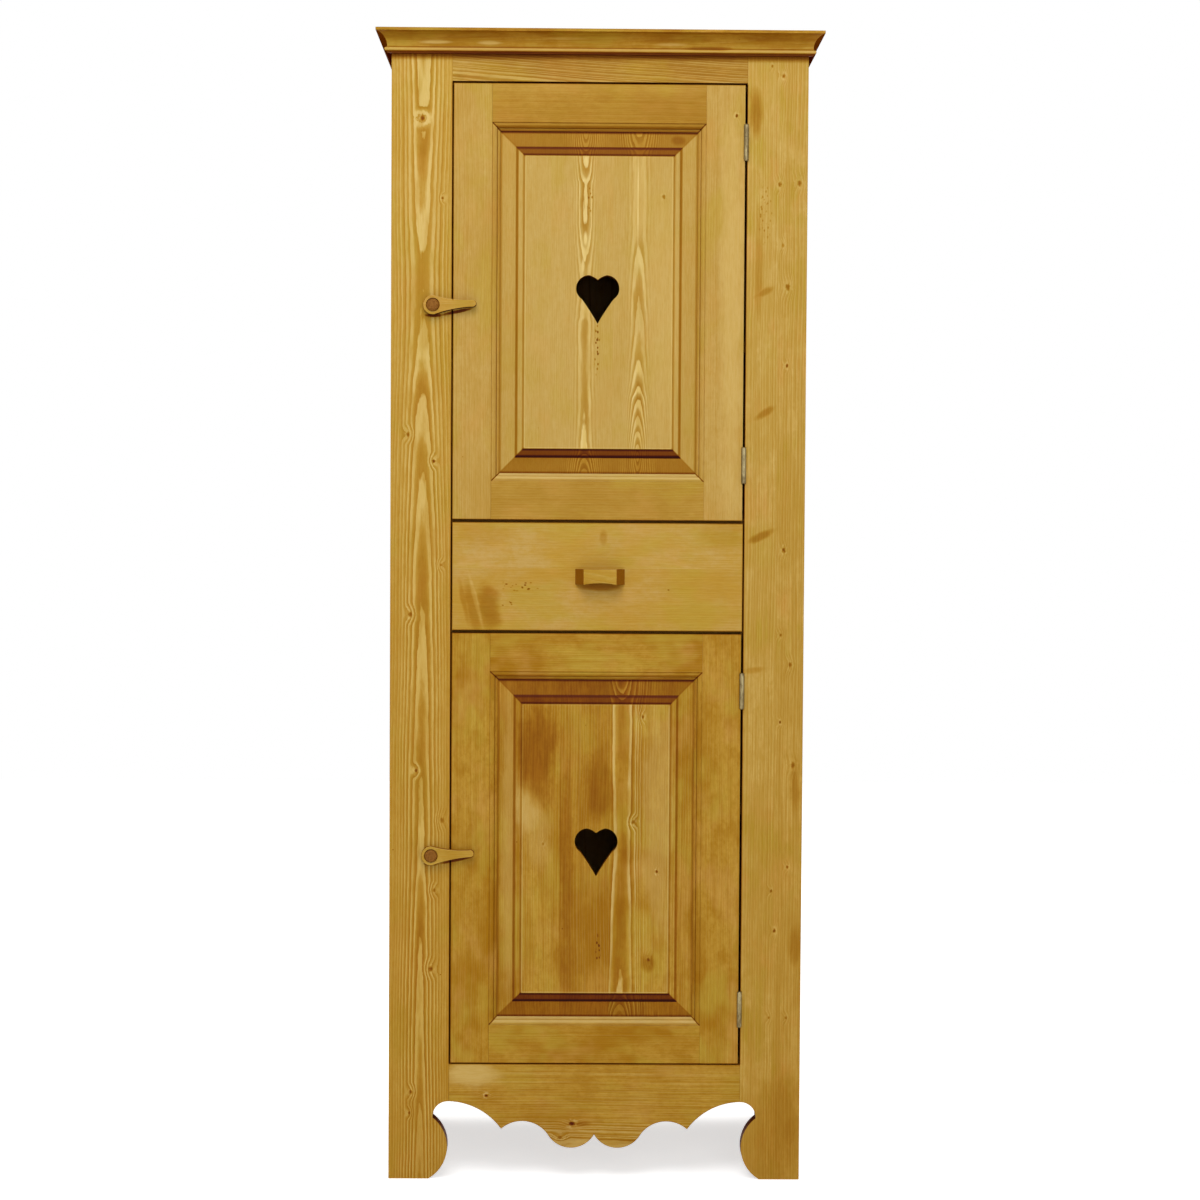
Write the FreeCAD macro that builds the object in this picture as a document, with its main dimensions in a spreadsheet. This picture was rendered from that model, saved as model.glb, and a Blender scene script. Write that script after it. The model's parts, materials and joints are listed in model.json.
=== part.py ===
import FreeCAD, Part
import os
import Sketcher

# A tall country cabinet in spruce: a front frame with scrolled feet, plank sides and a boarded back.
# An upper and a lower door hang on the right stile, with one drawer between them.
# X runs left to right across the front, Y from the front to the back, Z up from the floor.

# Driving dimensions, in millimetres
SIZES = {
    # body
    "body_width": 720,
    "body_depth": 450,
    "stile_width": 105,
    "frame_thickness": 26,
    "side_thickness": 20,
    "back_thickness": 12,
    "back_rebate": 10,
    "back_foot_clearance": 60,
    "board_thickness": 20,
    "top_thickness": 18,
    "housing_depth": 6,
    # heights of the front, from the floor up
    "apron_top_height": 202.5,
    "lower_door_height": 753.5,
    "drawer_front_height": 187.5,
    "upper_door_height": 752.5,
    "frieze_height": 46,
    "cornice_height": 40.5,
    # gaps round the doors and the drawer
    "door_bottom_gap": 2,
    "front_gap": 5,
    "door_top_gap": 3,
    "latch_side_gap": 2.3,
    "hinge_side_gap": 4,
    "drawer_side_gap": 2.5,
    "stop_gap": 0.5,
    "stop_overlap": 8,
    # frame joints
    "tenon_thickness": 8,
    "tenon_length": 40,
    "tenon_shoulder": 12,
    "frame_tenon_length": 45,
    # doors
    "door_frame_width": 67,
    "moulding_width": 13.5,
    "moulding_depth": 8.5,
    "groove_set_back": 10.5,
    "groove_depth": 10,
    "panel_room": 2,
    "panel_clearance": 0.2,
    "panel_set_back": 1,
    "bevel_width": 27,
    "bevel_rise": 4.5,
    "field_moulding_width": 15.5,
    "field_quirk": 1.5,
    # heart cut-outs
    "heart_width": 75,
    "heart_height": 84,
    "upper_heart_across": -1.5,
    "upper_heart_rise": 5.5,
    "lower_heart_across": 1.5,
    "lower_heart_rise": -6,
    # hinges
    "hinge_length": 60,
    "barrel_radius": 4,
    "barrel_proud": 2.5,
    "hinge_pin_radius": 2,
    "pin_clearance": 0.05,
    "pin_cap": 1.5,
    "knuckle_gap": 0.3,
    "leaf_thickness": 1.8,
    "leaf_width": 21,
    "leaf_clearance": 0.1,
    "screw_head_radius": 3.4,
    "screw_radius": 1.6,
    "screw_length": 16,
    "screw_edge": 9,
    "slot_width": 0.8,
    "upper_hinge_inset": 99,
    "lower_hinge_inset": 96,
    # turn buttons
    "latch_set_in": 32,
    "latch_round_radius": 17,
    "latch_tip_radius": 6.3,
    "latch_reach": 75,
    "latch_thickness": 12,
    "latch_clearance": 0.4,
    "peg_radius": 5,
    "peg_clearance": 0.05,
    "peg_depth": 20,
    "peg_head_radius": 11,
    "peg_head_height": 5,
    "peg_recess": 2,
    "upper_latch_height": 1525,
    "lower_latch_height": 569.5,
    # drawer
    "drawer_side_thickness": 15,
    "drawer_side_height": 168,
    "drawer_back_room": 17.5,
    "drawer_bottom_thickness": 6,
    "drawer_bottom_raise": 10,
    "drawer_groove_depth": 6,
    "drawer_rebate_depth": 14,
    "drawer_clearance": 0.3,
    "guide_width": 30,
    "guide_height": 30,
    # drawer pull
    "pull_back_width": 86,
    "pull_front_width": 57,
    "pull_height": 27,
    "pull_projection": 24,
    "pull_across": 4.5,
    "pull_arch_rise": 3,
    "pull_grip_radius": 9,
    "pull_grip_reach": 23,
    "pull_screw_spacing": 40,
    "pull_screw_bite": 8,
    # cornice
    "cornice_overhang": 26,
    "cornice_fillet": 5,
    "cornice_bead_radius": 4,
    "cornice_neck": 8,
    "cornice_lip": 2,
    # inside
    "shelf_thickness": 18,
    "shelf_inset": 6,
    "upper_shelf_height": 1450,
    "lower_shelf_height": 640,
    "batten_size": 20,
    "glue_block_size": 40,
    "glue_block_drop": 60,
    "back_board_gap": 1,
    "back_tongue": 6,
    "back_tongue_thickness": 4,
    # lower edge of the apron and the feet, from the centre line and from the floor
    "apron_cusp_height": 78.6,
    "apron_lobe_reach": 43,
    "apron_lobe_height": 55,
    "apron_flank_reach": 81,
    "apron_flank_height": 78,
    "apron_small_arch_reach": 121,
    "apron_small_arch_height": 101.6,
    "apron_drop_reach": 163,
    "apron_drop_height": 88,
    "apron_large_arch_reach": 198,
    "apron_large_arch_height": 120,
    "apron_end_height": 136.5,
    "foot_curl_in": 21,
    "foot_curl_height": 128,
    "foot_notch_in": 28,
    "foot_notch_height": 108,
    "foot_bulge_in": 2.5,
    "foot_bulge_height": 56.5,
    "foot_toe_in": 35,
    # what a cut runs past the face it starts from
    "overrun": 5,
}

BACK_BOARDS = 5
SHEET_NAME = "sizes"

# Moulding on the inner edge of the door frames: share of its width from the sight edge, share of its depth
OVOLO_START_SHARES = (1.0, 0.18)
OVOLO_BULGE_SHARES = (0.6, 0.3)
OVOLO_END_SHARES = (0.34, 0.88)
# Moulding round the raised field of a panel: share of its width from the bevel, share of its rise
FIELD_BULGE_SHARES = (0.36, 0.72)
# Hollow of the cornice: share of the way from its fillet in to its neck, share of the way down
COVE_BULGE_SHARES = (0.80, 0.38)
# Half outline of a heart: share of half its width, share of its height from the tip
HEART_CLEFT_SHARES = (0.0, 0.905)
HEART_LOBE_INSIDE_SHARES = (0.25, 0.975)
HEART_LOBE_TOP_SHARES = (0.42, 1.0)
HEART_CHEEK_SHARES = (0.91, 0.87)
HEART_SIDE_SHARES = (1.0, 0.72)
HEART_HIP_SHARES = (0.93, 0.60)
HEART_WAIST_SHARES = (0.74, 0.51)
HEART_FLANK_SHARES = (0.33, 0.245)
# Edges of a turn button between its round end and its tip: share of its reach, share of its round end's size
BUTTON_UPPER_SHARES = (0.45, 0.52)
BUTTON_LOWER_SHARES = (0.42, 0.56)
BUTTON_TANGENT_SHARES = (0.12, 0.98)
BUTTON_TILT_DEGREES = {"upper_latch": 2.5, "lower_latch": 3.5}
# Where an eighth of a turn leads on a quarter round: share of the radius
EIGHTH_TURN_SHARE = 0.7071
# Cap of a hinge pin: shares of the radius of the barrel at its foot and at its end
PIN_CAP_SHARES = (0.9, 0.6)


class Length:
    """A length in millimetres, with the spreadsheet expression that gives it."""

    def __init__(self, value, text):
        self.value = float(value)
        self.text = text

    def __add__(self, other):
        other = as_length(other)
        return Length(self.value + other.value, "(%s + %s)" % (self.text, other.text))

    def __sub__(self, other):
        other = as_length(other)
        return Length(self.value - other.value, "(%s - %s)" % (self.text, other.text))

    def __mul__(self, factor):
        return Length(self.value * factor, "(%s * %r)" % (self.text, factor))

    def __truediv__(self, factor):
        return Length(self.value / factor, "(%s / %r)" % (self.text, factor))

    def __neg__(self):
        return Length(-self.value, "(0 - %s)" % self.text)

    __radd__ = __add__
    __rmul__ = __mul__


def as_length(number):
    """Turn a plain zero or scale value into a Length, and leave a Length as it is."""
    if isinstance(number, Length):
        return number
    return Length(number, repr(number))


class Sizes:
    """The spreadsheet of driving dimensions, read as sizes.some_name."""

    def __init__(self, document, table):
        self.sheet = document.addObject("Spreadsheet::Sheet", SHEET_NAME)
        for row, (name, value) in enumerate(table.items(), start=1):
            self.sheet.set("A%d" % row, name)
            self.sheet.set("B%d" % row, repr(value))
            self.sheet.setAlias("B%d" % row, name)
            setattr(self, name, Length(value, "%s.%s" % (SHEET_NAME, name)))


doc = FreeCAD.newDocument("cabinet")
size = Sizes(doc, SIZES)
doc.recompute()
ZERO = as_length(0)

# Each axis: the origin plane it is square to, and which way that plane's normal points
PLANES = {"X": ("YZ_Plane", 1), "Y": ("XZ_Plane", -1), "Z": ("XY_Plane", 1)}
finished = []


def vector(u, v):
    return FreeCAD.Vector(u.value, v.value, 0)


class Piece:
    """One solid, made as a body of prisms that are padded or pocketed along an axis.

    An outline is a list of corners. A corner (u, v) ends a straight edge. A corner
    (u, v, through_u, through_v) ends an arc that passes through the second point.
    """

    def __init__(self, label, keep=True):
        self.body = doc.addObject("PartDesign::Body", label)
        self.body.Label = label
        if keep:
            finished.append(self.body)

    def sketch(self, axis, at):
        role, side = PLANES[axis]
        plane = [part for part in self.body.Origin.OriginFeatures if part.Role == role][0]
        sketch = self.body.newObject("Sketcher::SketchObject", self.body.Label + "_sketch")
        sketch.AttachmentSupport = [(plane, "")]
        sketch.MapMode = "FlatFace"
        sketch.setExpression(".AttachmentOffset.Base.z", (as_length(at) * side).text)
        return sketch

    def fix(self, geometry, position, u, v):
        """Constraints that hold a point of the sketch at (u, v), each with its expression."""
        return [(Sketcher.Constraint("DistanceX", geometry, position, u.value), u.text),
                (Sketcher.Constraint("DistanceY", geometry, position, v.value), v.text)]

    def constrain(self, sketch, wanted):
        """Add all constraints in one step, and bind the ones that have an expression."""
        numbers = sketch.addConstraint([constraint for constraint, _ in wanted])
        for number, (_, text) in zip(numbers, wanted):
            if text is not None:
                sketch.setExpression("Constraints[%d]" % number, text)

    def draw(self, sketch, outline):
        corners = [tuple(as_length(value) for value in corner) for corner in outline]
        ends = []
        for number, corner in enumerate(corners):
            first, last = vector(*corners[number - 1][:2]), vector(*corner[:2])
            if len(corner) == 2:
                edge = sketch.addGeometry(Part.LineSegment(first, last), False)
                ends.append((edge, 1, 2))
                continue
            through = vector(*corner[2:])
            anticlockwise = (through - first).cross(last - through).z > 0
            if anticlockwise:
                edge = sketch.addGeometry(Part.Arc(first, through, last), False)
                ends.append((edge, 1, 2))
            else:
                edge = sketch.addGeometry(Part.Arc(last, through, first), False)
                ends.append((edge, 2, 1))
        wanted = []
        for number, corner in enumerate(corners):
            edge, _, position = ends[number]
            next_edge, next_position, _ = ends[(number + 1) % len(ends)]
            wanted += self.fix(edge, position, corner[0], corner[1])
            wanted.append((Sketcher.Constraint("Coincident", edge, position, next_edge, next_position), None))
            if len(corner) == 4:
                mark = sketch.addGeometry(Part.Point(vector(*corner[2:])), True)
                wanted += self.fix(mark, 1, corner[2], corner[3])
                wanted.append((Sketcher.Constraint("PointOnObject", mark, 1, edge), None))
        self.constrain(sketch, wanted)

    def draw_circles(self, sketch, places, radius):
        wanted = []
        for u, v in places:
            u, v = as_length(u), as_length(v)
            circle = Part.Circle(vector(u, v), FreeCAD.Vector(0, 0, 1), radius.value)
            number = sketch.addGeometry(circle, False)
            wanted += self.fix(number, 3, u, v)
            wanted.append((Sketcher.Constraint("Radius", number, radius.value), radius.text))
        self.constrain(sketch, wanted)

    def extrude(self, kind, axis, sketch, low, high):
        feature = self.body.newObject(kind, self.body.Label + "_" + kind.split("::")[1].lower())
        feature.Profile = sketch
        feature.setExpression("Length", (as_length(high) - low).text)
        along = PLANES[axis][1] > 0
        feature.Reversed = not along if kind == "PartDesign::Pad" else along
        self.body.Tip = feature
        return feature

    def add(self, axis, outline, low, high):
        sketch = self.sketch(axis, low)
        self.draw(sketch, outline)
        self.extrude("PartDesign::Pad", axis, sketch, low, high)
        return self

    def cut(self, axis, outline, low, high):
        sketch = self.sketch(axis, low)
        self.draw(sketch, outline)
        self.extrude("PartDesign::Pocket", axis, sketch, low, high)
        return self

    def add_round(self, axis, places, radius, low, high):
        sketch = self.sketch(axis, low)
        self.draw_circles(sketch, places, radius)
        self.extrude("PartDesign::Pad", axis, sketch, low, high)
        return self

    def cut_round(self, axis, places, radius, low, high):
        sketch = self.sketch(axis, low)
        self.draw_circles(sketch, places, radius)
        self.extrude("PartDesign::Pocket", axis, sketch, low, high)
        return self

    def revolve(self, axis_name, outline):
        """Turn a half outline in the XZ plane about the body's own X or Z axis."""
        sketch = self.sketch("Y", ZERO)
        self.draw(sketch, outline)
        feature = self.body.newObject("PartDesign::Revolution", self.body.Label + "_revolution")
        feature.Profile = sketch
        role = axis_name + "_Axis"
        line = [part for part in self.body.Origin.OriginFeatures if part.Role == role][0]
        feature.ReferenceAxis = (line, [""])
        feature.Angle = 360
        self.body.Tip = feature
        return self

    def move(self, x, y, z, rotation=None):
        if rotation is not None:
            self.body.Placement = FreeCAD.Placement(FreeCAD.Vector(0, 0, 0), rotation)
        bind_place(self.body, x, y, z)
        return self


def bind_place(item, x, y, z):
    for name, length in (("x", x), ("y", y), ("z", z)):
        item.setExpression(".Placement.Base." + name, as_length(length).text)


def rectangle(low_u, high_u, low_v, high_v):
    return [(low_u, low_v), (high_u, low_v), (high_u, high_v), (low_u, high_v)]


def box(label, x, y, z, keep=True):
    """A plain board between two places along each axis."""
    board = doc.addObject("Part::Box", label)
    board.Label = label
    board.setExpression("Length", (as_length(x[1]) - x[0]).text)
    board.setExpression("Width", (as_length(y[1]) - y[0]).text)
    board.setExpression("Height", (as_length(z[1]) - z[0]).text)
    bind_place(board, x[0], y[0], z[0])
    if keep:
        finished.append(board)
    return board


def group(label, members):
    """Like pieces that share one name."""
    compound = doc.addObject("Part::Compound", label)
    compound.Label = label
    compound.Links = members
    finished.append(compound)
    return compound


def cone(label, wide, narrow, place, rotation):
    """A cone that narrows along its own Z, from a place on a face and into the material."""
    taper = doc.addObject("Part::Cone", label)
    taper.setExpression("Radius1", wide.text)
    taper.setExpression("Radius2", narrow.text)
    taper.setExpression("Height", (wide - narrow).text)
    taper.Placement = FreeCAD.Placement(FreeCAD.Vector(0, 0, 0), rotation)
    bind_place(taper, *place)
    return taper


def screw(label, place, length, rotation):
    """A slotted countersunk screw whose head is flush with a face and whose shank runs along its own Z."""
    depth = size.screw_head_radius - size.screw_radius
    origin = (ZERO, ZERO, ZERO)
    head = cone(label + "_head", size.screw_head_radius, size.screw_radius, origin, FreeCAD.Rotation())
    shank = doc.addObject("Part::Cylinder", label + "_shank")
    shank.setExpression("Radius", size.screw_radius.text)
    shank.setExpression("Height", (length - depth).text)
    bind_place(shank, ZERO, ZERO, depth)
    whole = doc.addObject("Part::Fuse", label + "_whole")
    whole.Base = head
    whole.Tool = shank
    reach, half_slot = size.screw_head_radius, size.slot_width / 2
    slot = (-half_slot, half_slot)
    groove = box(label + "_slot", (-reach, reach), slot, slot, keep=False)
    slotted = doc.addObject("Part::Cut", label)
    slotted.Base = whole
    slotted.Tool = groove
    slotted.Placement = FreeCAD.Placement(FreeCAD.Vector(0, 0, 0), rotation)
    bind_place(slotted, *place)
    return slotted


# Where things lie across the front
half_width = size.body_width / 2
opening = half_width - size.stile_width
side_inner = half_width - size.side_thickness
door_left = -opening + size.latch_side_gap
door_right = opening - size.hinge_side_gap
door_width = door_right - door_left
hinge_x = opening - size.hinge_side_gap / 2

# Where things lie from front to back
front = (size.cornice_overhang - size.body_depth) / 2
back = (size.cornice_overhang + size.body_depth) / 2
frame_back = front + size.frame_thickness
face_back = frame_back - size.stop_gap
back_face = back - size.back_thickness
hinge_y = front - size.barrel_proud

# Where things lie from the floor up
lower_door_base = size.apron_top_height + size.door_bottom_gap
lower_door_top = lower_door_base + size.lower_door_height
drawer_base = lower_door_top + size.front_gap
drawer_top = drawer_base + size.drawer_front_height
upper_door_base = drawer_top + size.front_gap
upper_door_top = upper_door_base + size.upper_door_height
frieze_base = upper_door_top + size.door_top_gap
cornice_base = frieze_base + size.frieze_height
total_height = cornice_base + size.cornice_height
body_top = total_height - size.top_thickness
bottom_board_top = size.apron_top_height + size.stop_overlap
lower_divider = drawer_base - size.front_gap / 2 - size.board_thickness / 2
upper_divider = drawer_top + size.front_gap / 2 - size.board_thickness / 2

tenon_front = front + (size.frame_thickness - size.tenon_thickness) / 2
tenon_back = tenon_front + size.tenon_thickness
apron_tenon = (size.apron_end_height + size.tenon_shoulder, size.apron_top_height - size.tenon_shoulder)
frieze_tenon = (frieze_base + size.tenon_shoulder, body_top - size.tenon_shoulder)

hinge_heights = {
    "upper_door": (upper_door_base + size.lower_hinge_inset, upper_door_top - size.upper_hinge_inset),
    "lower_door": (lower_door_base + size.lower_hinge_inset, lower_door_top - size.upper_hinge_inset),
}
latch_x = -opening - size.latch_set_in
latch_heights = {"upper_latch": size.upper_latch_height, "lower_latch": size.lower_latch_height}


def hinge_recess(piece, side, wood_edge, heights):
    """Sink leaves into an edge, with room for the barrel. Side is 1 for the frame, -1 for the door."""
    outside = wood_edge - size.overrun * side
    leaf_depth = wood_edge + (size.leaf_thickness + size.leaf_clearance) * side
    leaf_back = front + size.leaf_width + size.leaf_clearance
    room = size.barrel_radius + size.knuckle_gap
    barrel_depth = hinge_x + room * side
    hole_end = wood_edge + (size.screw_length + size.leaf_clearance) * side
    for height in heights:
        low = height - size.hinge_length / 2 - size.leaf_clearance
        high = height + size.hinge_length / 2 + size.leaf_clearance
        piece.cut("Z", rectangle(outside, leaf_depth, front - size.overrun, leaf_back), low, high)
        piece.cut("Z", rectangle(outside, barrel_depth, front - size.overrun, hinge_y + room),
                  low - size.pin_cap, high + size.pin_cap)
        holes = [(front + size.leaf_width / 2, place) for place in screw_heights(height)]
        near, far = (wood_edge, hole_end) if side > 0 else (hole_end, wood_edge)
        piece.cut_round("X", holes, size.screw_radius + size.leaf_clearance, near, far)


def screw_heights(height):
    step = size.hinge_length / 2 - size.screw_edge
    return [height - step, height, height + step]


# Front frame: stiles that run down into scrolled feet

def foot_outline(side):
    """Front view of a stile, side is -1 for the left one and 1 for the right one."""
    inner = opening
    foot = [
        (inner, size.apron_end_height),
        (inner + size.foot_notch_in, size.foot_notch_height,
         inner + size.foot_curl_in, size.foot_curl_height),
        (inner + size.foot_toe_in, ZERO,
         inner + size.foot_bulge_in, size.foot_bulge_height),
        (half_width, ZERO),
        (half_width, body_top),
        (inner, body_top),
    ]
    return [tuple(value * side if number % 2 == 0 else value for number, value in enumerate(corner))
            for corner in foot]


def stile(label, side):
    piece = Piece(label)
    piece.add("Y", foot_outline(side), front, frame_back)
    for low, high in (apron_tenon, frieze_tenon):
        inner, outer = opening, opening + size.frame_tenon_length
        span = (inner, outer) if side > 0 else (-outer, -inner)
        piece.cut("Y", rectangle(span[0], span[1], low, high), tenon_front, tenon_back)
    return piece


left_stile = stile("left_stile", -1)
peg_hole = size.peg_radius + size.peg_clearance
left_stile.cut_round("Y", [(latch_x, height) for height in latch_heights.values()], peg_hole,
                     front, front + size.peg_depth)
right_stile = stile("right_stile", 1)
for heights in hinge_heights.values():
    hinge_recess(right_stile, 1, opening, heights)

# Rails between the stiles

top_rail = Piece("top_rail")
top_rail.add("Y", rectangle(-opening, opening, frieze_base, body_top), front, frame_back)

apron_half = [
    (size.apron_lobe_reach, size.apron_lobe_height),
    (size.apron_flank_reach, size.apron_flank_height),
    (size.apron_small_arch_reach, size.apron_small_arch_height),
    (size.apron_drop_reach, size.apron_drop_height),
    (size.apron_large_arch_reach, size.apron_large_arch_height),
    (opening, size.apron_end_height),
]
lobe, flank, small_arch, drop, large_arch, apron_end = apron_half


def left(point):
    return (-point[0], point[1])


apron_rail = Piece("apron_rail")
apron_rail.add("Y", [
    (opening, size.apron_top_height),
    (-opening, size.apron_top_height),
    left(apron_end),
    left(drop) + left(large_arch),
    left(flank) + left(small_arch),
    (ZERO, size.apron_cusp_height) + left(lobe),
    flank + lobe,
    drop + small_arch,
    apron_end + large_arch,
], front, frame_back)

for rail, (low, high) in ((top_rail, frieze_tenon), (apron_rail, apron_tenon)):
    for side in (-1, 1):
        shoulder, end = opening * side, (opening + size.frame_tenon_length - size.panel_room) * side
        rail.add("Y", rectangle(shoulder, end, low, high), tenon_front, tenon_back)

# Plank sides, housed for the boards that they carry and rebated for the back

housings = [
    (bottom_board_top - size.board_thickness, bottom_board_top),
    (lower_divider, lower_divider + size.board_thickness),
    (upper_divider, upper_divider + size.board_thickness),
]


def plank_side(label, side):
    outer, inner = half_width * side, side_inner * side
    piece = Piece(label)
    piece.add("Z", rectangle(inner, outer, frame_back, back), ZERO, body_top)
    rebate_edge = (side_inner + size.back_rebate) * side
    piece.cut("Z", rectangle(inner - size.overrun * side, rebate_edge, back_face, back + size.overrun),
              size.back_foot_clearance, body_top + size.overrun)
    housing_end = (side_inner + size.housing_depth) * side
    for low, high in housings:
        outline = rectangle(inner - size.overrun * side, housing_end, low, high)
        piece.cut("Y", outline, frame_back - size.overrun, back_face)
    return piece


plank_side("left_side", -1)
plank_side("right_side", 1)

# Boards across the body

housed = side_inner + size.housing_depth
for label, (low, high) in zip(("bottom_board", "lower_divider", "upper_divider"), housings):
    box(label, (-housed, housed), (frame_back, back_face), (low, high))
box("top_board", (-half_width, half_width), (front, back), (body_top, total_height))
box("door_stop_batten", (-opening, opening), (frame_back, frame_back + size.batten_size),
    (frieze_base - size.stop_overlap, frieze_base + size.batten_size))

# Tongued and grooved back boards

boards = []
back_span = side_inner + size.back_rebate
all_gaps = size.back_board_gap * (BACK_BOARDS - 1)
board_width = (back_span * 2 - all_gaps) / BACK_BOARDS
tongue_front = back_face + (size.back_thickness - size.back_tongue_thickness) / 2
tongue_back = tongue_front + size.back_tongue_thickness
for number in range(BACK_BOARDS):
    board_left = -back_span + (board_width + size.back_board_gap) * number
    board_right = board_left + board_width
    board = Piece("back_board_%d" % (number + 1), keep=False)
    foot = size.back_foot_clearance
    board.add("Z", rectangle(board_left, board_right, back_face, back), foot, body_top)
    if number > 0:
        board.cut("Z", rectangle(board_left - size.overrun, board_left + size.back_tongue,
                                 tongue_front, tongue_back), foot - size.overrun, body_top + size.overrun)
    if number < BACK_BOARDS - 1:
        board.add("Z", rectangle(board_right, board_right + size.back_tongue, tongue_front, tongue_back),
                  foot, body_top)
    boards.append(board.body)
group("back_boards", boards)

# Shelves on battens, and glue blocks in the corners of the base

shelf_depth = (frame_back + size.shelf_inset, back_face)
battens = []
for label, height in (("upper_shelf", size.upper_shelf_height), ("lower_shelf", size.lower_shelf_height)):
    box(label, (-side_inner, side_inner), shelf_depth, (height, height + size.shelf_thickness))
    for side, outline in ((-1, (-side_inner, -side_inner + size.batten_size)),
                          (1, (side_inner - size.batten_size, side_inner))):
        battens.append(box("%s_batten_%d" % (label, side + 2), outline, shelf_depth,
                           (height - size.batten_size, height), keep=False))
group("shelf_battens", battens)

blocks = []
block_top = bottom_board_top - size.board_thickness
for number, (depth_low, depth_high) in enumerate(((frame_back, frame_back + size.glue_block_size),
                                                  (back_face - size.glue_block_size, back_face))):
    for side in (-1, 1):
        inner, outer = (side_inner - size.glue_block_size) * side, side_inner * side
        block = Piece("glue_block_%d_%d" % (number, side + 2), keep=False)
        corner = (outer, depth_low if number == 0 else depth_high)
        outline = [corner, (inner, corner[1]), (outer, depth_high if number == 0 else depth_low)]
        block.add("Z", outline, block_top - size.glue_block_drop, block_top)
        blocks.append(block.body)
group("glue_blocks", blocks)

# Drawer guides that keep the drawer straight

guide_base = lower_divider + size.board_thickness
drawer_half = opening - size.drawer_side_gap
guides = []
for side in (-1, 1):
    near, far = drawer_half + size.drawer_clearance, drawer_half + size.drawer_clearance + size.guide_width
    outline = (near, far) if side > 0 else (-far, -near)
    guides.append(box("drawer_guide_%d" % (side + 2), outline, (frame_back, back_face),
                      (guide_base, guide_base + size.guide_height), keep=False))
group("drawer_guides", guides)

# Cornice, mitred at the front corners

cove_top = total_height - size.cornice_fillet
bead_centre = cornice_base + size.cornice_lip + size.cornice_bead_radius
bead_top = bead_centre + size.cornice_bead_radius


def cornice_outline(wall, outward):
    """Section of the cornice. Outward is 1 or -1, the way it stands out from the wall's place."""
    def out(distance):
        return wall + as_length(distance) * outward
    through = size.cornice_overhang - (size.cornice_overhang - size.cornice_neck) * COVE_BULGE_SHARES[0]
    through_height = cove_top - (cove_top - bead_top) * COVE_BULGE_SHARES[1]
    return [
        (wall, total_height),
        (wall, cornice_base),
        (out(size.cornice_neck), cornice_base),
        (out(size.cornice_neck), cornice_base + size.cornice_lip),
        (out(size.cornice_neck), bead_top, out(size.cornice_neck + size.cornice_bead_radius), bead_centre),
        (out(size.cornice_overhang), cove_top, out(through), through_height),
        (out(size.cornice_overhang), total_height),
    ]


cornice_x = half_width + size.cornice_overhang
cornice_y = front - size.cornice_overhang
cornice_front = Piece("cornice_front")
cornice_front.add("X", cornice_outline(front, -1), -cornice_x, cornice_x)
past = size.overrun
for side in (-1, 1):
    mitre = [(half_width * side, front), (cornice_x * side, cornice_y),
             ((cornice_x + past) * side, cornice_y), ((cornice_x + past) * side, front + past),
             (half_width * side, front + past)]
    cornice_front.cut("Z", mitre, cornice_base - past, total_height + past)
for label, side in (("cornice_left", -1), ("cornice_right", 1)):
    piece = Piece(label)
    piece.add("Y", cornice_outline(half_width * side, side), cornice_y, back)
    mitre = [(half_width * side, front), (cornice_x * side, cornice_y),
             (cornice_x * side, cornice_y - past), ((half_width - past) * side, cornice_y - past),
             ((half_width - past) * side, front)]
    piece.cut("Z", mitre, cornice_base - past, total_height + past)

# Doors: mortised frames with a raised panel, pierced by a heart

groove_front = front + size.groove_set_back
groove_back = groove_front + size.tenon_thickness
member = size.door_frame_width + size.moulding_width


def moulding_cut(edge, inward, overrun):
    """Waste to remove for the moulding. Edge is the sight edge, inward points back over the wood."""
    width, depth = size.moulding_width, size.moulding_depth

    def place(shares):
        return (edge + width * inward * shares[0], front + depth * shares[1])
    start, bulge, end = place(OVOLO_START_SHARES), place(OVOLO_BULGE_SHARES), place(OVOLO_END_SHARES)
    return [
        (edge + width * inward, front - overrun),
        start,
        end + bulge,
        (end[0], front + depth),
        (edge - overrun * inward, front + depth),
        (edge - overrun * inward, front - overrun),
    ]


def swapped(outline):
    """Give an outline in (x, y) its form in (y, z), with the first value standing for height."""
    turned = []
    for corner in outline:
        pairs = [(corner[number + 1], corner[number]) for number in range(0, len(corner), 2)]
        turned.append(sum(pairs, ()))
    return turned


def door_stile(label, outer, inward, base, top):
    """A door stile. Inward is 1 for the latch side on the left and -1 for the hinge side."""
    flat = outer + size.door_frame_width * inward
    edge = outer + member * inward
    piece = Piece(label)
    piece.add("Y", [
        (outer, base), (flat, base), (flat, base + size.door_frame_width), (edge, base + member),
        (edge, top - member), (flat, top - size.door_frame_width), (flat, top), (outer, top),
    ], front, face_back)
    piece.cut("Z", moulding_cut(edge, -inward, size.overrun), base - size.overrun, top + size.overrun)
    groove_end, beyond = edge - size.groove_depth * inward, edge + size.overrun * inward
    groove = rectangle(groove_end, beyond, groove_front, groove_back)
    piece.cut("Z", groove, base + size.door_frame_width, top - size.door_frame_width)
    shoulder = size.tenon_shoulder
    for low, high in ((base + shoulder, base + size.door_frame_width),
                      (top - size.door_frame_width, top - shoulder)):
        mortise = rectangle(flat - size.tenon_length * inward, flat + size.overrun * inward, low, high)
        piece.cut("Y", mortise, groove_front, groove_back)
    return piece


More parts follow.
